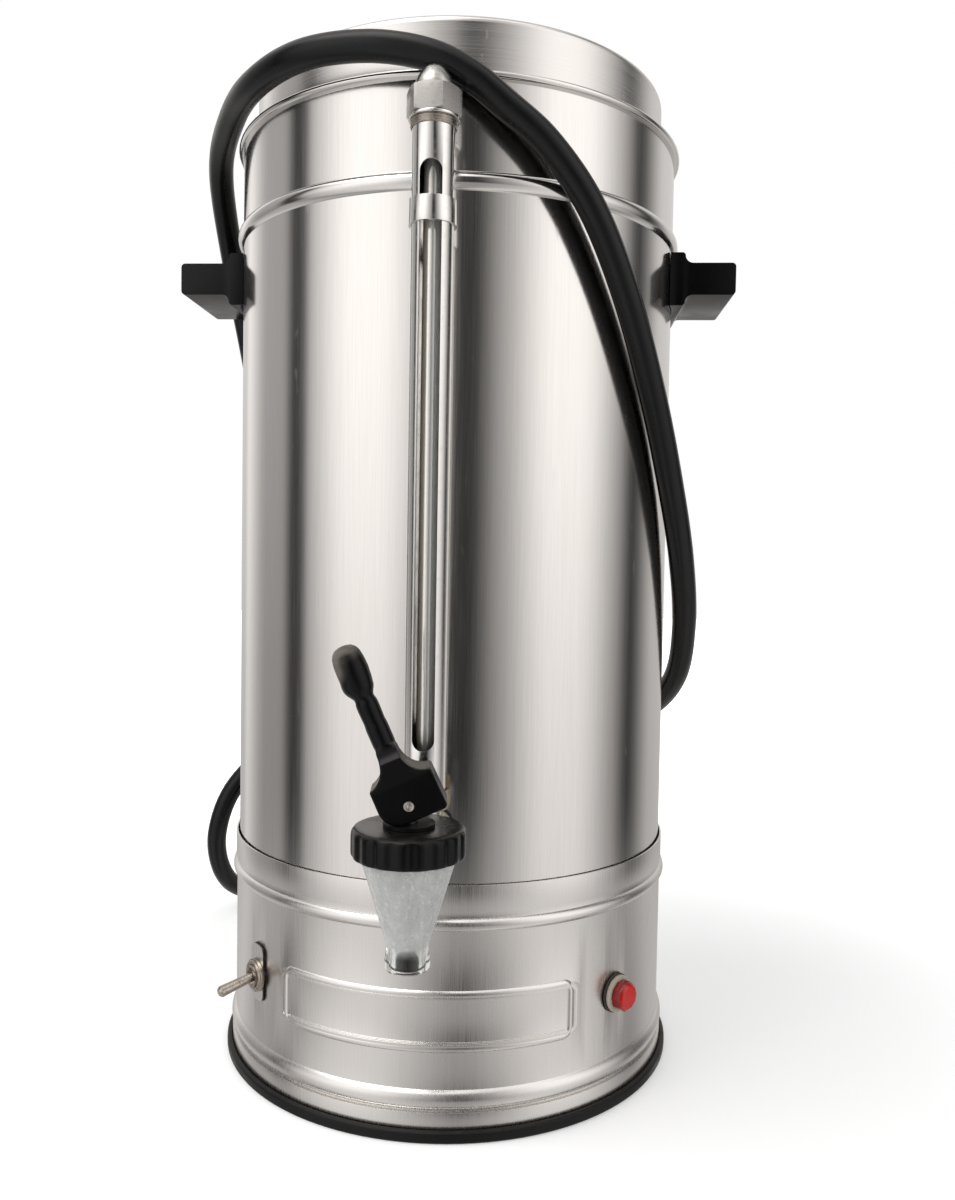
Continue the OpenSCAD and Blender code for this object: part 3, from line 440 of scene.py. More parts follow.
@dataclass(frozen=True)
class RubbedAndLitMoulding(Moulded):
    """Moulded plastic made grey round some places, partly rubbed by thumbs and partly painted highlight,
    least so on its front, which is kept dark as painted shade.
    """

    places: tuple[Point, ...] = ()
    reach: float = 0.009
    amount: float = 0.85
    turn: float = 6

    def _rub_and_highlight(self, graph: Graph, cloud: Socket) -> float | Socket:
        """Fades out from each place, in patches."""
        # Grey round each place: partly rub wear, partly painted highlight.
        worn: float | Socket = 0.0
        for place in self.places:
            away = graph.length(graph.place(centre=place))
            near = graph.range(away, self.reach * 0.35, self.reach, self.amount, 0)
            worn = graph.plus(worn, graph.times(near, graph.range(cloud, 0.34, 0.66, 0.45, 1)))
        # Faces that look out to the front keep less grey: painted shade on the front.
        return graph.times(worn, graph.range(graph.facing(self.turn), 0.78, 1, 1, 0.3))


@dataclass(frozen=True)
class CloudyPlastic(Finish):
    """Clear tap plastic, clouded by lime and fine scratches, least so at the spout's end."""

    clear_z: float = 0.111
    hazy_z: float = 0.119
    clouds: float = 190
    runs: float = 520
    flecks: float = 700

    def draw(self, graph: Graph) -> None:
        """Draws the haze over the clear plastic."""
        place = graph.place()
        high = graph.split(place)["Z"]
        cloud = graph.noise(place, self.clouds, 6, 0.70)
        runs = graph.noise(graph.place((1, 1, 0.10)), self.runs, 4, 0.6)
        fleck = graph.range(graph.noise(place, self.flecks, 2), 0.62, 0.72, 0, 0.5)
        mottle = graph.plus(graph.times(cloud, 0.5), graph.times(runs, 0.5))
        tone = graph.ramp(mottle, {
            0.32: (0.50, 0.51, 0.49), 0.50: (0.59, 0.60, 0.58), 0.66: (0.70, 0.70, 0.68),
        })
        tone = graph.mix(fleck, tone, (0.92, 0.92, 0.90, 1))
        end = (self.clear_z, self.hazy_z)
        tone = graph.mix(graph.range(high, *end, 0.75, 0), tone, (0.86, 0.88, 0.86, 1))
        rough = graph.times(graph.range(cloud, *MIDDLE, 0.16, 0.34), graph.range(high, *end, 0.5, 1))
        graph.surface(Base_Color=tone, Roughness=rough, IOR=1.45,
                      Transmission_Weight=graph.range(high, *end, 1.0, 0.26),
                      Normal=graph.bump(cloud, 0.00012, 0.25))


@dataclass(frozen=True)
class GaugeGlass(Finish):
    """Gauge glass clouded by use, with a tea-coloured stain strip down it, painted light and dark
    refraction bands beside it, and painted shade at its ends.
    """

    half_width: float = 0.005
    low_z: float = 0.181
    high_z: float = 0.436
    end: float = 0.010

    def draw(self, graph: Graph) -> None:
        """Draws the stain strip and the painted refraction bands along the tube, and the painted shade at
        its ends.
        """
        way = graph.split(graph.place())
        across = graph.math("DIVIDE", graph.plus(way["X"], self.half_width), 2 * self.half_width)
        ripple = graph.noise(graph.place((1, 1, 0.05)), 220)
        across = graph.plus(across, graph.range(ripple, 0, 1, -0.03, 0.03))
        # Bands across the tube: a tea-coloured stain, with painted highlight and painted shade where the
        # tube bends light.
        stain_and_refraction_bands = graph.ramp(across, {
            0.10: (0.30, 0.30, 0.27), 0.22: (0.82, 0.75, 0.62), 0.38: (0.94, 0.92, 0.86),
            0.56: (0.88, 0.87, 0.84), 0.66: (0.60, 0.61, 0.59), 0.82: (0.92, 0.92, 0.90),
        })
        # Painted shade at both ends of the tube.
        low = graph.range(way["Z"], self.low_z, self.low_z + self.end, 0.30, 1)
        high = graph.range(way["Z"], self.high_z - 3 * self.end, self.high_z, 1, 0.35)
        shade = graph.shaded(graph.times(low, high))
        colour = graph.mix(1.0, stain_and_refraction_bands, shade, Blend.MULTIPLY)
        graph.surface(Base_Color=colour, Roughness=graph.range(ripple, 0.3, 0.8, 0.08, 0.16), IOR=1.47,
                      Metallic=0.55, Transmission_Weight=0.1)


@dataclass(frozen=True)
class LampLens(Finish):
    """Translucent moulded lens, with painted light on its face and painted shade down its sides."""

    # face holds the painted light of the lens's face, side the painted shade of its sides.
    face: Colour = (0.60, 0.012, 0.009)
    side: Colour = (0.24, 0.004, 0.004)
    turn: float = 49.2

    def draw(self, graph: Graph) -> None:
        """Draws the lens's colour by how squarely a face looks out of the lamp: painted light on the face,
        painted shade on the sides.
        """
        cloud = graph.noise(graph.place(), 240, 3, 0.6)
        square = graph.range(graph.facing(self.turn), 0.45, 0.95)
        colour = graph.mix(square, (*self.side, 1), (*self.face, 1))
        colour = graph.mix(graph.range(cloud, 0.4, 0.75, 0, 0.25), colour, (*self.side, 1))
        graph.surface(Base_Color=colour, Roughness=graph.range(cloud, *MIDDLE, 0.12, 0.26), IOR=1.49,
                      Coat_Weight=0.15)


BRUSHED = BrushedSteel("brushed_shell_steel")
FINISHES: dict[str, Finish] = {
    "brushed_shell": BRUSHED,
    "lid_steel": BrushedSteel("spun_lid_steel", spun=True, lines=1800, smooth=0.20, rough=0.28),
    "bright_steel": PolishedSteel("polished_guard_steel", smooth=0.12, rough=0.24, stain=0.18),
    "nickel": PolishedSteel("worn_nickel", tint=(0.62, 0.59, 0.54), stained=(0.30, 0.24, 0.18), stain=0.75,
                            smooth=0.16, rough=0.38, spots=300),
    "inner_steel": BrushedSteel("mill_steel", tint=(0.60, 0.59, 0.57), rough=0.38, stain=0.2),
    "black_bakelite": Moulded("black_moulding"),
    "black_washer": Moulded("black_slip_washer", smooth=0.35, rough=0.55),
    "rubber_foot": Moulded("foot_rubber", tint=(0.008, 0.008, 0.008), smooth=0.34, rough=0.5, dusty=0.12),
    "rubber_seal": Moulded("seal_rubber", tint=(0.012, 0.011, 0.011), smooth=0.45, rough=0.65),
    "silicone": Moulded("seat_silicone", tint=(0.45, 0.43, 0.40), smooth=0.4, rough=0.5, dusty=0.05),
    "gauge_glass": GaugeGlass("gauge_glass_tube"),
    "clear_plastic": CloudyPlastic("cloudy_tap_plastic"),
    "brass": PolishedSteel("dull_brass", tint=(0.30, 0.235, 0.15), stained=(0.10, 0.07, 0.045), stain=0.85,
                           smooth=0.25, rough=0.45, spots=220),
    "element": PolishedSteel("heated_element", tint=(0.20, 0.18, 0.17), stained=(0.10, 0.07, 0.06),
                             stain=0.9, smooth=0.4, rough=0.6),
    "ceramic": Moulded("terminal_ceramic", tint=(0.72, 0.69, 0.62), dust_and_highlight=(0.4, 0.37, 0.33), smooth=0.35,
                       rough=0.5, dusty=0.3),
    "phenolic": Moulded("switch_phenolic", tint=(0.10, 0.05, 0.03), smooth=0.35, rough=0.5),
    "lamp_cream": Moulded("lamp_cream_ring", tint=(0.46, 0.42, 0.35), dust_and_highlight=(0.22, 0.19, 0.15), smooth=0.25,
                          rough=0.4, dusty=0.3),
    "lamp_red": LampLens("lamp_red_lens"),
    "cord_black": Moulded("cord_sheath", tint=(0.004, 0.004, 0.0045), smooth=0.22, rough=0.34, skin=1400,
                          dusty=0.05, specular=0.27),
}

BROWNED = PolishedSteel("browned_switch_plating", tint=(0.43, 0.385, 0.34), stained=(0.13, 0.095, 0.075),
                        stain=0.85, smooth=0.18, rough=0.38, spots=420)
NODE_FINISHES: dict[str, Finish] = {
    "base_shell": BrushedSteel("brushed_base_steel", smooth=0.24, rough=0.31),
    "gauge_cap_nut": PolishedSteel("dull_nut_steel", tint=(0.47, 0.46, 0.44), stained=(0.28, 0.245, 0.21),
                                   stain=0.7, smooth=0.22, rough=0.34, spots=260),
    "lamp_gasket": Moulded("brown_lamp_gasket", tint=(0.055, 0.045, 0.038), smooth=0.4, rough=0.6),
    "lever_pin": PolishedSteel("rivet_steel", tint=(0.80, 0.77, 0.73), stain=0.4, smooth=0.16, rough=0.28),
    "switch_plate": PlateSteel("brushed_plate_steel", smooth=0.22, rough=0.30),
    "switch_body": BROWNED,
    "switch_nut": BROWNED,
    "switch_bat": BROWNED,
    # The lever's grey places are partly rub wear and partly painted highlight, with the front kept dark as
    # painted shade.
    "tap_lever": RubbedAndLitMoulding("rubbed_and_lit_lever_moulding", dust_and_highlight=(0.20, 0.18, 0.155), dusty=0.30, places=(
        (-0.0262, -0.1850, 0.2290), (-0.0290, -0.1850, 0.2215), (0.0033, -0.1807, 0.1846),
        (-0.0134, -0.1824, 0.1782),
    )),
    # The stem's steel is tinted dark.
    "tap_stem": PolishedSteel("dark_stem_steel", tint=(0.16, 0.15, 0.14), stain=0.6, smooth=0.25,
                              rough=0.4),
}


# -------- modelling helpers


def pick(obj: Object) -> None:
    """Makes an object the only selected and active one."""
    bpy.ops.object.select_all(action="DESELECT")
    obj.select_set(True)
    bpy.context.view_layer.objects.active = obj


def mode(name: str) -> None:
    """Goes into EDIT or OBJECT mode."""
    bpy.ops.object.mode_set(mode=name)


def bake_place(obj: Object) -> None:
    """Moves an object's place into its mesh, so that it sits at the origin."""
    pick(obj)
    bpy.ops.object.transform_apply(location=True, rotation=True, scale=True)


def added(name: str, data: ID) -> Object:
    """Links a new object that holds a mesh, a curve, a camera or a lamp."""
    made = bpy.data.objects.new(name, data)
    bpy.context.scene.collection.objects.link(made)
    return made


def modify(obj: Object, kind: str, **settings: object) -> None:
    """Adds a modifier of a kind to an object, with its settings."""
    made = obj.modifiers.new(kind.lower(), kind)
    for name, value in settings.items():
        setattr(made, name, value)


def apply_all(obj: Object) -> None:
    """Applies an object's modifiers, in order."""
    pick(obj)
    for name in [m.name for m in obj.modifiers]:
        bpy.ops.object.modifier_apply(modifier=name)


def smooth(obj: Object, angle: float) -> None:
    """Shades an object smooth, but not across edges sharper than an angle."""
    pick(obj)
    bpy.ops.object.shade_smooth_by_angle(angle=math.radians(angle))


def apply_smooth(obj: Object, angle: float = 32) -> None:
    """Applies an object's modifiers and shades it smooth."""
    apply_all(obj)
    smooth(obj, angle)


def select_faces(obj: Object, test: Callable[[MeshPolygon], bool]) -> None:
    """Leaves an object in edit mode, with only the faces that pass a test selected."""
    pick(obj)
    mode("EDIT")
    bpy.ops.mesh.select_mode(type="FACE")
    bpy.ops.mesh.select_all(action="DESELECT")
    mode("OBJECT")
    for face in obj.data.polygons:
        face.select = test(face)
    mode("EDIT")


def cylinder(name: str, radius: float, depth: float, centre: Point, sides: int = 72,
             ends: str = "NOTHING") -> Object:
    """Adds an upright cylinder to be shaped.

    Args:
        name: the piece's name.
        radius: its radius, in metres.
        depth: its height, in metres.
        centre: its middle.
        sides: how many sides it has.
        ends: how its ends are filled.

    Returns:
        The cylinder, alone selected.
    """
    bpy.ops.mesh.primitive_cylinder_add(vertices=sides, radius=radius, depth=depth, end_fill_type=ends,
                                        location=centre)
    made = bpy.context.object
    made.name = name
    return made


def wire(name: str, radius: float, steps: int, places: list[Point], closed: bool = False) -> Object:
    """Makes a round wire along a line of points, as a mesh.

    Args:
        name: the piece's name.
        radius: the wire's radius, in metres.
        steps: the curve's bevel resolution.
        places: the points that its middle follows.
        closed: whether it joins up with its start.

    Returns:
        The wire.
    """
    data = bpy.data.curves.new(name, "CURVE")
    data.dimensions = "3D"
    data.bevel_depth = radius
    data.bevel_resolution = steps
    data.use_fill_caps = not closed
    spline = data.splines.new("POLY")
    spline.points.add(len(places) - 1)
    spline.use_cyclic_u = closed
    for point, place in zip(spline.points, places):
        point.co = (*place, 1)
    made = added(name, data)
    pick(made)
    bpy.ops.object.convert(target="MESH")
    return made


def peak(along: float, at: float, reach: float) -> float:
    """A soft bump along a line: 1 at its place, and almost nothing two reaches off."""
    return math.exp(-((along - at) / reach) ** 2)


def eased(value: float) -> float:
    """A value held from 0 to 1, with soft ends."""
    held = min(1.0, max(0.0, value))
    return held * held * (3 - 2 * held)


def dress(obj: Object, slot: str, finish: Finish | None = None) -> None:
    """Gives a piece a finish, or else that of one of the record's slots."""
    obj.data.materials.clear()
    obj.data.materials.append((finish or FINISHES[slot]).material())


SLOT_OF: dict[str, str] = {s["node"]: s["material_slot"] for s in frame["record"]["subparts"]}
BODY_OF: dict[str, str] = {
    node: body for body, nodes in frame["record"]["behaviour"]["bodies"].items() for node in nodes
}


def merged_copy(node: str, name: str) -> Object:
    """A copy of a CAD node's mesh with its doubles merged and its flats whole.

    Args:
        node: the CAD node.
        name: the copy's name.

    Returns:
        The copy, which rides on nothing yet.
    """
    source = frame["nodes"][node]
    copy = added(name, source.data.copy())
    pick(copy)
    bpy.ops.mesh.customdata_custom_splitnormals_clear()
    mode("EDIT")
    bpy.ops.mesh.select_all(action="SELECT")
    bpy.ops.mesh.remove_doubles(threshold=0.005 * MM)
    bpy.ops.mesh.dissolve_limited(angle_limit=math.radians(0.6))
    mode("OBJECT")
    return copy


def softened(node: str, width: float) -> Object:
    """Stands a copy with rounded edges in a CAD node's place.

    Args:
        node: the CAD node.
        width: the rounding's width, in metres.

    Returns:
        The new piece, dressed and riding on the node's body.
    """
    piece = merged_copy(node, node + "_moulded")
    modify(piece, "BEVEL", width=width, segments=3, limit_method="ANGLE", angle_limit=math.radians(40))
    apply_smooth(piece)
    stand_in(piece, node)
    return piece


def stand_in(piece: Object, node: str) -> None:
    """Puts a finished piece in a CAD node's place, with its finish and on its body."""
    dress(piece, SLOT_OF[node], NODE_FINISHES.get(node))
    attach(piece, BODY_OF[node])
    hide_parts(node)


# -------- studio and camera


@dataclass(frozen=True)
class PhotoCamera:
    """The camera, at the photograph's own place and lens."""

    distance: float = 0.5619
    height: float = 0.26355
    azimuth: float = 4.95
    pitch: float = 2.46
    yaw: float = 1.36
    roll: float = 0.95
    lens: float = 30.29

    def build(self) -> None:
        """Makes the camera and sets it as the scene's."""
        data = bpy.data.cameras.new("photo_camera")
        data.lens = self.lens
        data.sensor_width = 36
        data.clip_start = 0.02
        camera = added("photo_camera", data)
        turn = Matrix.Rotation(math.radians(self.azimuth), 4, "Z")
        aim = (Matrix.Rotation(math.radians(-self.yaw), 4, "Z")
               @ Matrix.Rotation(math.radians(90 - self.pitch), 4, "X")
               @ Matrix.Rotation(math.radians(self.roll), 4, "Z"))
        camera.matrix_world = turn @ Matrix.Translation((0, -self.distance, self.height)) @ aim
        bpy.context.scene.camera = camera


@dataclass(frozen=True)
class SoftBox:
    """A soft box or a pale wall of the studio, which shows only in what gloss mirrors."""

    azimuth: float
    width: float
    light: float
    edge: float

    def glow(self, graph: Graph, azimuth: Socket) -> Socket:
        """The box's light in a direction.

        Args:
            graph: the world's graph.
            azimuth: the direction's azimuth from the front, in degrees.

        Returns:
            The light's socket.
        """
        apart = graph.math("PINGPONG", graph.math("SUBTRACT", azimuth, self.azimuth), 180.0)
        return graph.range(apart, (self.width - self.edge) / 2, (self.width + self.edge) / 2, self.light, 0)


@dataclass(frozen=True)
class Studio:
    """Pale floor, plain soft light, and the soft boxes that the steel mirrors."""

    ambient: float = 0.66
    floor_half: float = 4.0
    floor_tone: float = 0.86
    floor_lift: float = 0.28
    floor_fade: Span = (0.20, 0.80)
    urn_middle: Point = (0, 0, 0.25)
    room: float = 0.04
    downward: float = 0.70
    downward_over: Span = (-0.30, 0.30)
    below: float = 0.74
    below_share: float = 0.45
    below_over: Span = (-0.44, -0.22)
    warmth: Colour = (1.0, 0.97, 0.95)
    canopy: SoftBox = SoftBox(azimuth=-40, width=110, light=2.3, edge=60)
    canopy_from: Span = (0.58, 0.82)
    boxes: tuple[SoftBox, ...] = (
        SoftBox(azimuth=-42, width=50, light=1.00, edge=38),
        SoftBox(azimuth=-37, width=80, light=0.38, edge=5),
        SoftBox(azimuth=63, width=48, light=0.98, edge=36),
        SoftBox(azimuth=62, width=84, light=0.36, edge=16),
        SoftBox(azimuth=-115, width=48, light=0.42, edge=10),
        SoftBox(azimuth=180, width=112, light=0.70, edge=30),
    )

    def build(self) -> None:
        """Makes the floor, the lamps and the world."""
        self._floor()
        self._lamp("key_soft_box", (-1.9, -0.9, 1.9), size=2.4, power=44)
        self._lamp("fill_soft_box", (1.7, -1.2, 1.5), size=1.6, power=6)
        self._world()
        bpy.context.scene.view_settings.view_transform = "Standard"

    def _floor(self) -> None:
        """A pale floor that keeps the urn's shadow and meets the white background.

        Gloss mirrors the world in its place, whose lower part is as pale as a floor is.
        """
        bpy.ops.mesh.primitive_plane_add(size=2 * self.floor_half)
        floor = bpy.context.object
        floor.name = "studio_floor"
        made = bpy.data.materials.new("pale_floor")
        made.use_nodes = True
        graph = Graph(made.node_tree)
        mottle = graph.noise(graph.place(), 3)
        matt = graph.node("BsdfDiffuse")
        tones = (grey(self.floor_tone + shift) for shift in (-0.01, 0.01))
        graph.feed(matt, Color=graph.mix(mottle, *tones))
        glow = graph.node("Emission")
        lift = graph.range(graph.length(graph.place()), *self.floor_fade, self.floor_lift, 1)
        path = graph.node("LightPath")
        graph.feed(glow, Color=grey(1), Strength=graph.times(path.outputs["Is Camera Ray"], lift))
        both = graph.node("AddShader")
        graph.put(both.inputs[0], matt.outputs["BSDF"])
        graph.put(both.inputs[1], glow.outputs["Emission"])
        graph.out(both.outputs["Shader"])
        floor.data.materials.append(made)
        floor.visible_glossy = False

    def _lamp(self, name: str, place: Point, size: float, power: float) -> None:
        """A square soft box that looks at the urn's middle."""
        data = bpy.data.lights.new(name, "AREA")
        data.shape = "SQUARE"
        data.size = size
        data.energy = power
        lamp = added(name, data)
        lamp.location = place
        aim = Vector(self.urn_middle) - Vector(place)
        lamp.rotation_euler = aim.to_track_quat("-Z", "Y").to_euler()
        lamp.visible_glossy = False

    def _world(self) -> None:
        """White to the camera, an even light on matt surfaces, and the soft boxes in gloss."""
        world = bpy.data.worlds.new("studio_world")
        bpy.context.scene.world = world
        world.use_nodes = True
        graph = Graph(world.node_tree)
        way = graph.split(graph.node("TexCoord").outputs["Generated"])
        azimuth = graph.math("ARCTAN2", way["X"], graph.times(way["Y"], -1.0))
        azimuth = graph.times(azimuth, 180 / math.pi)
        light: float | Socket = self.room
        for box in self.boxes:
            light = graph.plus(light, box.glow(graph, azimuth))
        light = graph.times(light, graph.range(way["Z"], *self.downward_over, self.downward, 1))
        pale = graph.range(way["Z"], *self.below_over, self.below_share, 0)
        light = graph.plus(graph.times(light, graph.math("SUBTRACT", 1.0, pale)),
                           graph.times(pale, self.below))
        raised = graph.range(way["Z"], *self.canopy_from)
        light = graph.plus(light, graph.times(self.canopy.glow(graph, azimuth), raised))
        path = graph.node("LightPath").outputs
        lit = graph.either(path["Is Glossy Ray"], graph.background(grey(1), self.ambient),
                           graph.background(graph.shaded(light, self.warmth)))
        straight = graph.math("MAXIMUM", path["Is Camera Ray"], path["Is Transmission Ray"])
        graph.out(graph.either(straight, lit, graph.background(grey(1))), "OutputWorld")


# -------- supply cord


@dataclass
class SupplyCord:
    """The supply cord: out of the gland, round the right side, over the rim, and down behind."""

    diameter: float = 13 * MM
    length: float = 1.714
    # The route in millimetres, as the part's source has it, from the strain relief to the plug.
    route: tuple[Point, ...] = (
        (0, 150, 56), (0, 182.6, 56), (-8.6, 210.2, 49.6), (-28.3, 231.7, 38.4), (-61.5, 243.8, 25.4),
        (-105.4, 238.6, 14.4), (-145.5, 214.1, 7.3), (-167.2, 178.6, 11.1), (-177.1, 151.4, 30.8),
        (-177.2, 135.1, 64.6), (-163, 134.2, 100.9), (-130.6, 146.4, 129.2), (-80.1, 155.9, 140.4),
        (-21.4, 150.1, 143.5), (34.7, 129, 147.2), (80.2, 98.9, 155.3), (111.2, 65.7, 170),
        (126.4, 32.9, 193.4), (127.5, 2.1, 225.9), (121.3, -26.4, 263.6), (111, -51.8, 303.2),
        (98.9, -73, 343.9), (84.6, -91.1, 383.7), (67.7, -106.1, 417.6), (48.3, -116.2, 441.2),
        (29.8, -121.2, 456), (14, -123.9, 467.7), (-4.7, -124.8, 476.1), (-31.2, -122.6, 480.8),
        (-60.9, -111.6, 482.7), (-87.6, -88.5, 482.2), (-109.7, -54.3, 481.1), (-129.3, -11.7, 470.6),
        (-136.3, 30.1, 438.8), (-132.1, 57.2, 385.2), (-123.3, 72.4, 316.9), (-115.7, 82.3, 244.7),
        (-112, 88, 180), (-112, 88, 130), (-112, 88, 90),
    )

    def build(self) -> list[Object]:
        """Returns:
            The pieces made.
        """
        points = [Vector(p) * MM for p in self.route]
        data = bpy.data.curves.new("supply_cord", "CURVE")
        data.dimensions = "3D"
        data.resolution_u = 8
        data.bevel_depth = self.diameter / 2
        data.bevel_resolution = 8
        data.use_fill_caps = True
        spline = data.splines.new("BEZIER")
        spline.bezier_points.add(len(points) - 1)
        last = len(points) - 1
        for i, (knot, point) in enumerate(zip(spline.bezier_points, points)):
            reach = (points[min(i + 1, last)] - points[max(i - 1, 0)]) / 6
            knot.handle_left_type = knot.handle_right_type = "FREE"
            knot.co = point
            knot.handle_left = point - reach
            knot.handle_right = point + reach
        cord = added("supply_cord", data)
        stand_in(cord, "cord")
        return [cord]


# -------- the tap


@dataclass
class Tap:
    """The self-closing tap: lever, pin, bonnet, cone body and closing spring."""

    axis_y: float = -0.181
    turn: float = 6
    lean: float = 24
    bonnet_skin: float = 0.40 * MM
    lever_skin: float = 0.32 * MM
    joint_at: float = 30 * MM
    joint_reach: float = 7 * MM
    root_r: float = 4.4 * MM
    core: float = 0.7
    root_from: float = 21.5 * MM
    root_rise: float = 4 * MM
    root_to: float = 34 * MM
    root_fall: float = 3 * MM
    neck_at: float = 43.6 * MM
    neck_reach: float = 1.9 * MM
    neck_in: float = 0.15
    sag: float = 0.9 * MM
    sag_at: float = 48 * MM
    sag_reach: float = 3.2 * MM
    bulb_at: float = 55.5 * MM
    bulb_reach: float = 6 * MM
    bulb_out: float = 0.08
    tip_at: float = 60.5 * MM
    tip_reach: float = 5 * MM
    tip_in: float = 0.20
    pin_reach: float = 8.6 * MM
    rivet_r: float = 1.95 * MM
    # The insets of the rivet's head, from its rim inwards: width and depth in millimetres.
    rivet_steps: tuple[Span, ...] = ((0.45, 0), (0.10, -1.2), (0.62, 0), (0.10, 1.1))
    spring_turns: int = 6
    turn_steps: int = 28
    spring_r: float = 4.8 * MM
    wire_r: float = 0.55 * MM
    film_r: float = 4.7 * MM
    film_h: float = 6.2 * MM
    film_up: float = 0.4 * MM

    def build(self) -> list[Object]:
        """Makes the tap's pieces."""
        return [self._lever(), self._rivet(), self._spring(), self._bore_film(), self._bonnet()]

    def _bonnet(self) -> Object:
        """The bonnet, whose flutes and edges are soft in the moulding."""
        bonnet = merged_copy("tap_bonnet", "tap_bonnet_moulded")
        modify(bonnet, "REMESH", mode="VOXEL", voxel_size=self.bonnet_skin)
        modify(bonnet, "SMOOTH", factor=0.5, iterations=38)
        apply_all(bonnet)
        bpy.ops.object.shade_smooth()
        stand_in(bonnet, "tap_bonnet")
        return bonnet

    def _stick_axis(self) -> tuple[Vector, Vector]:
        """The pivot's centre, and the direction in which the stick leaves it at rest."""
        low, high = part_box("lever_pin")
        lean, turn = math.radians(self.lean), math.radians(self.turn)
        out = Vector((-math.sin(lean) * math.cos(turn), -math.sin(lean) * math.sin(turn), math.cos(lean)))
        return (low + high) / 2, out

    def _lever(self) -> Object:
        """The lever, with its moulded edges rounded all over and a neck under its bulb."""
        lever = merged_copy("tap_lever", "tap_lever_moulded")
        modify(lever, "REMESH", mode="VOXEL", voxel_size=self.lever_skin)
        apply_all(lever)
        pivot, out = self._stick_axis()
        joint = lever.vertex_groups.new(name="joint")
        for vertex in lever.data.vertices:
            away = abs((vertex.co - pivot).dot(out) - self.joint_at)
            joint.add([vertex.index], max(0.0, 1 - away / self.joint_reach), "REPLACE")
        modify(lever, "SMOOTH", factor=0.5, iterations=60, vertex_group="joint")
        modify(lever, "SMOOTH", factor=0.5, iterations=5)
        apply_all(lever)
        for vertex in lever.data.vertices:
            along = (vertex.co - pivot).dot(out)
            centre = pivot + out * along
            reach = (vertex.co - centre).length
            skin = reach > self.core * self.root_r
            wanted = reach + (self.root_r - reach) * self._root(along) * skin
            wider = wanted / max(reach, 0.01 * MM) * self._swell(along)
            vertex.co = centre + (vertex.co - centre) * wider
            if vertex.co.x < centre.x:
                vertex.co.x -= self.sag * peak(along, self.sag_at, self.sag_reach)
        pick(lever)
        bpy.ops.object.shade_smooth()
        stand_in(lever, "tap_lever")
        return lever

    def _swell(self, along: float) -> float:
        """How much wider the bulb, and how much slimmer its neck and tip, is than the plain grip."""
        neck = peak(along, self.neck_at, self.neck_reach)
        bulb = peak(along, self.bulb_at, self.bulb_reach)
        tip = min(1.0, max(0.0, (along - self.tip_at) / self.tip_reach))
        return 1 - self.neck_in * neck + self.bulb_out * bulb - self.tip_in * tip ** 2

    def _root(self, along: float) -> float:
        """How round the stick's root is made, from 0 to 1, where it grows out of the block."""
        rise = eased((along - self.root_from) / self.root_rise)
        return rise * eased((self.root_to - along) / self.root_fall)

    def _rivet(self) -> Object:
        """The pivot pin with a hollow bright head at each end."""
        low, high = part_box("lever_pin")
        pin = cylinder("hollow_rivet", self.rivet_r, 2 * self.pin_reach, (low + high) / 2, 40, "NGON")
        select_faces(pin, lambda face: abs(face.normal.z) > 0.9)
        for width, depth in self.rivet_steps:
            bpy.ops.mesh.inset(thickness=width * MM, depth=depth * MM, use_individual=True)
        mode("OBJECT")
        pin.rotation_euler = (math.radians(90), 0, math.radians(self.turn))
        bake_place(pin)
        modify(pin, "BEVEL", width=0.15 * MM, segments=2)
        apply_smooth(pin)
        stand_in(pin, "lever_pin")
        return pin

    def _spring(self) -> Object:
        """The closing spring, as one round wire."""
        low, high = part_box("tap_spring")
        rise = high.z - low.z - 2 * self.wire_r
        steps = self.turn_steps * self.spring_turns
        places = []
        for i in range(steps + 1):
            angle = 2 * math.pi * self.spring_turns * i / steps
            places.append((self.spring_r * math.cos(angle), self.axis_y + self.spring_r * math.sin(angle),
                           low.z + self.wire_r + rise * i / steps))
        spring = wire("closing_spring", self.wire_r, 3, places)
        smooth(spring, 60)
        dress(spring, "nickel")
        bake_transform(spring)
        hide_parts("tap_spring")
        return spring

    def _bore_film(self) -> Object:
        """A dark sheet lining the spout's bore, painted shade of the bore's inside, which shows through the
        clear end.
        """
        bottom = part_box("tap_body")[0].z + self.film_up
        film = cylinder("spout_bore_film", self.film_r, self.film_h,
                        (0, self.axis_y, bottom + self.film_h / 2), 48, "NGON")
        select_faces(film, lambda face: face.normal.z < -0.9)
        bpy.ops.mesh.delete(type="FACE")
        mode("OBJECT")
        bake_place(film)
        modify(film, "BEVEL", width=3.8 * MM, segments=7, limit_method="ANGLE",
               angle_limit=math.radians(60))
        modify(film, "SOLIDIFY", thickness=0.35 * MM, offset=-1)
        apply_smooth(film)
        # A near-black finish for the sheet: painted shade of the bore's inside.
        coffee = Moulded("bore_shade_sheet", tint=(0.010, 0.008, 0.007), dusty=0, smooth=0.4, rough=0.6,
                         specular=0.1)
        film.data.materials.append(coffee.material())
        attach(film, "urn")
        return film


# -------- the base's raised frame


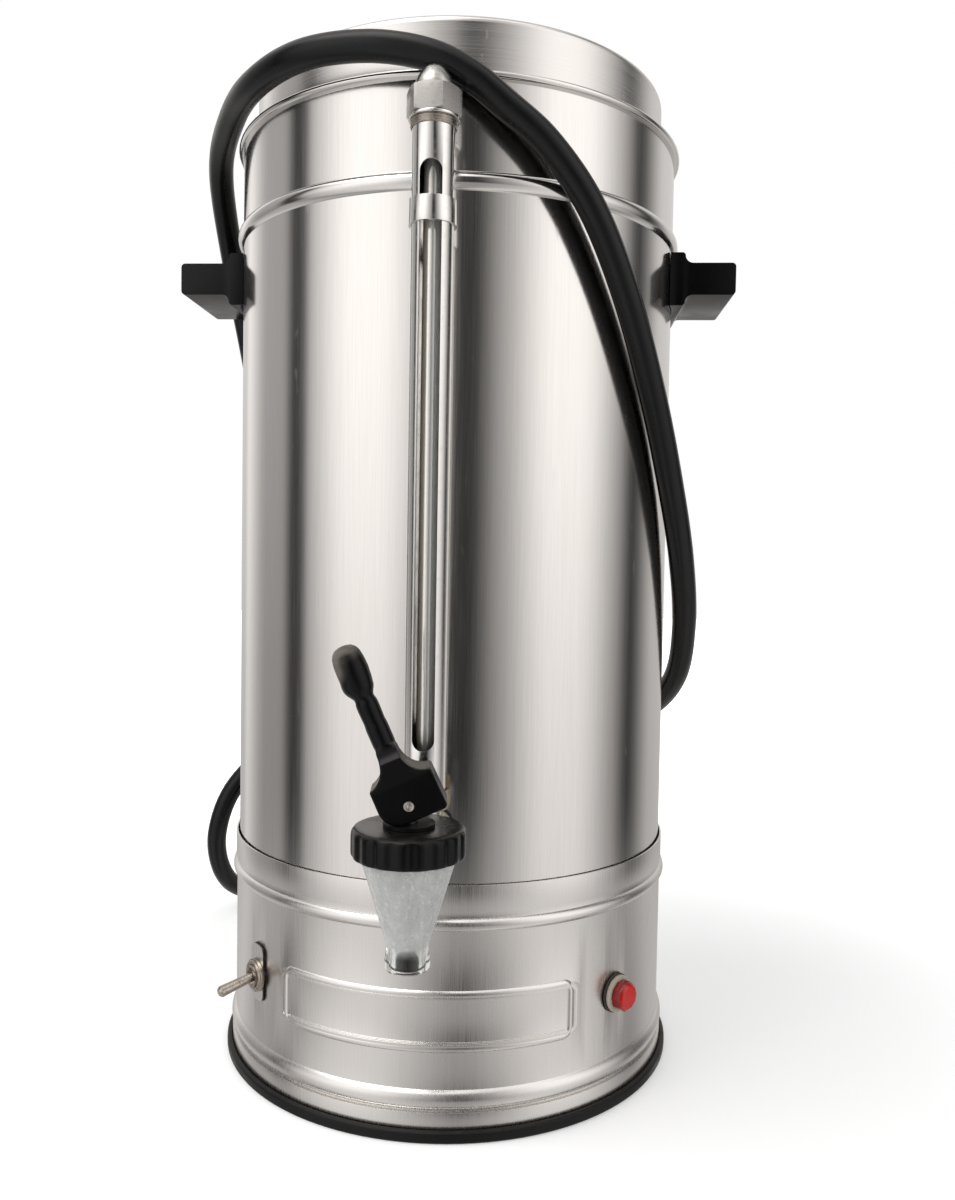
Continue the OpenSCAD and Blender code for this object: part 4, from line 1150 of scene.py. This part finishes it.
@dataclass
class RaisedFrame:
    """The soft rounded ridge that is pressed up round the bare panel on the base."""

    wall_r: float = 116.1 * MM
    width: float = 143.5 * MM
    height: float = 24.6 * MM
    centre_z: float = 54 * MM
    turn: float = -0.9
    corner: float = 4 * MM
    ridge_r: float = 2.2 * MM
    proud: float = 1.05 * MM
    root: float = 0.4 * MM
    step: float = 1.5 * MM

    def _outline(self) -> list[Span]:
        """The frame's centre line, as distances along the wall and up it."""
        half_w, half_h = self.width / 2 - self.corner, self.height / 2 - self.corner
        steps = 8
        line: list[Span] = []
        for quarter, (side_x, side_z) in enumerate(((1, 1), (-1, 1), (-1, -1), (1, -1))):
            for i in range(steps + 1):
                angle = math.radians(90 * (quarter + i / steps))
                line.append((side_x * half_w + self.corner * math.cos(angle),
                             side_z * half_h + self.corner * math.sin(angle)))
        dense: list[Span] = []
        for (x, z), (next_x, next_z) in zip(line, line[1:] + line[:1]):
            parts = max(1, round(math.hypot(next_x - x, next_z - z) / self.step))
            dense += [(x + (next_x - x) * i / parts, z + (next_z - z) * i / parts) for i in range(parts)]
        return dense

    def build(self) -> list[Object]:
        """Makes the ridge as a round bead, and sinks its root into the wall."""
        axis_r = self.wall_r + self.proud - self.ridge_r
        places = []
        for along, up in self._outline():
            angle = math.radians(self.turn) + along / self.wall_r
            places.append((axis_r * math.sin(angle), -axis_r * math.cos(angle), self.centre_z + up))
        ridge = wire("panel_ridge", self.ridge_r, 6, places, closed=True)
        root_r = self.wall_r - self.root
        for vertex in ridge.data.vertices:
            reach = math.hypot(vertex.co.x, vertex.co.y)
            if reach < root_r:
                vertex.co.xy *= root_r / reach
        smooth(ridge, 60)
        dress(ridge, "brushed_shell", NODE_FINISHES["base_shell"])
        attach(ridge, "urn")
        return [ridge]


# -------- the gauge's threads


@dataclass
class GaugeThread:
    """The worn thread and the bright washer that show between the guard tube and its cap nut."""

    turns: int = 3
    pitch: float = 1.15 * MM
    depth: float = 0.5 * MM
    press: float = 1.02
    washer_h: float = 1.3 * MM
    washer_proud: float = 1.5 * MM

    def build(self) -> list[Object]:
        """Makes a ribbed collar: a cylinder cut into rings, with every other ring pressed in."""
        low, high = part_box("gauge_guard")
        nut_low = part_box("gauge_cap_nut")[0].z - self.washer_h
        centre = (low + high) / 2
        radius = (high.x - low.x) / 2 + self.depth
        height = self.turns * self.pitch
        bottom = nut_low - height
        thread = cylinder("guard_thread", radius, height, (centre.x, centre.y, bottom + height / 2))
        bake_place(thread)
        mode("EDIT")
        for cut in range(1, 2 * self.turns):
            bpy.ops.mesh.select_all(action="SELECT")
            level = (centre.x, centre.y, bottom + cut * self.pitch / 2)
            bpy.ops.mesh.bisect(plane_co=level, plane_no=(0, 0, 1))
        mode("OBJECT")
        shrink = (radius - self.depth * self.press) / radius
        for vertex in thread.data.vertices:
            if round((vertex.co.z - bottom) / (self.pitch / 2)) % 2 == 0:
                vertex.co.xy = centre.xy + (vertex.co.xy - centre.xy) * shrink
        modify(thread, "SOLIDIFY", thickness=0.3 * MM, offset=-1)
        modify(thread, "BEVEL", width=0.12 * MM, segments=2)
        apply_smooth(thread, 50)
        dress(thread, "nickel", BROWNED)
        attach(thread, "urn")
        return [thread, self._washer(centre, (high.x - low.x) / 2, nut_low)]

    def _washer(self, centre: Vector, inner_r: float, bottom: float) -> Object:
        """The washer: a short pipe round the guard tube, with round edges.

        Args:
            centre: a point on the tube's axis.
            inner_r: the tube's radius.
            bottom: the washer's lowest height.

        Returns:
            The washer.
        """
        washer = cylinder("gauge_washer", inner_r + self.washer_proud, self.washer_h,
                          (centre.x, centre.y, bottom + self.washer_h / 2))
        bake_place(washer)
        modify(washer, "SOLIDIFY", thickness=self.washer_proud, offset=-1)
        modify(washer, "BEVEL", width=0.4 * MM, segments=3)
        apply_smooth(washer, 50)
        dress(washer, "bright_steel")
        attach(washer, "urn")
        return washer


# -------- the whole urn


@dataclass
class Urn:
    """The CAD's own pieces: their finishes, and the rounded edges of some."""

    # How widely the edges of some nodes are rounded, in millimetres.
    soft_edges: dict[str, float] = field(default_factory=lambda: {
        "left_handle": 0.9,
        "right_handle": 0.9,
        "base_shell": 0.35,
        "gauge_guard": 0.25,
        "gauge_band": 0.3,
        "gauge_cap_nut": 0.35,
        "gauge_bottom_nut": 0.3,
        "switch_nut": 0.25,
        "switch_bat": 0.5,
        "lamp_bezel": 0.45,
        "lamp_lens": 0.4,
        "lid_knob": 0.4,
        "base_ring": 0.4,
    })

    def dress_nodes(self) -> None:
        """Gives every CAD node its finish."""
        for node, obj in frame["nodes"].items():
            dress(obj, SLOT_OF[node], NODE_FINISHES.get(node))

    def build(self) -> list[Object]:
        """Rounds the pressed, turned and moulded edges."""
        return [softened(node, width * MM) for node, width in self.soft_edges.items()]


def main() -> None:
    """Builds the studio and the urn, in order, and reports each piece."""
    logging.basicConfig(level=logging.INFO, format="%(name)s: %(message)s")
    PhotoCamera().build()
    Studio().build()
    urn = Urn()
    urn.dress_nodes()
    made = SupplyCord().build()
    for part in (urn, RaisedFrame(), GaugeThread(), Tap()):
        made += part.build()
    for piece in made:
        size = len(piece.data.polygons) if piece.type == "MESH" else 0
        log.info("%s: %d faces", piece.name, size)


if __name__ == "__main__":
    main()
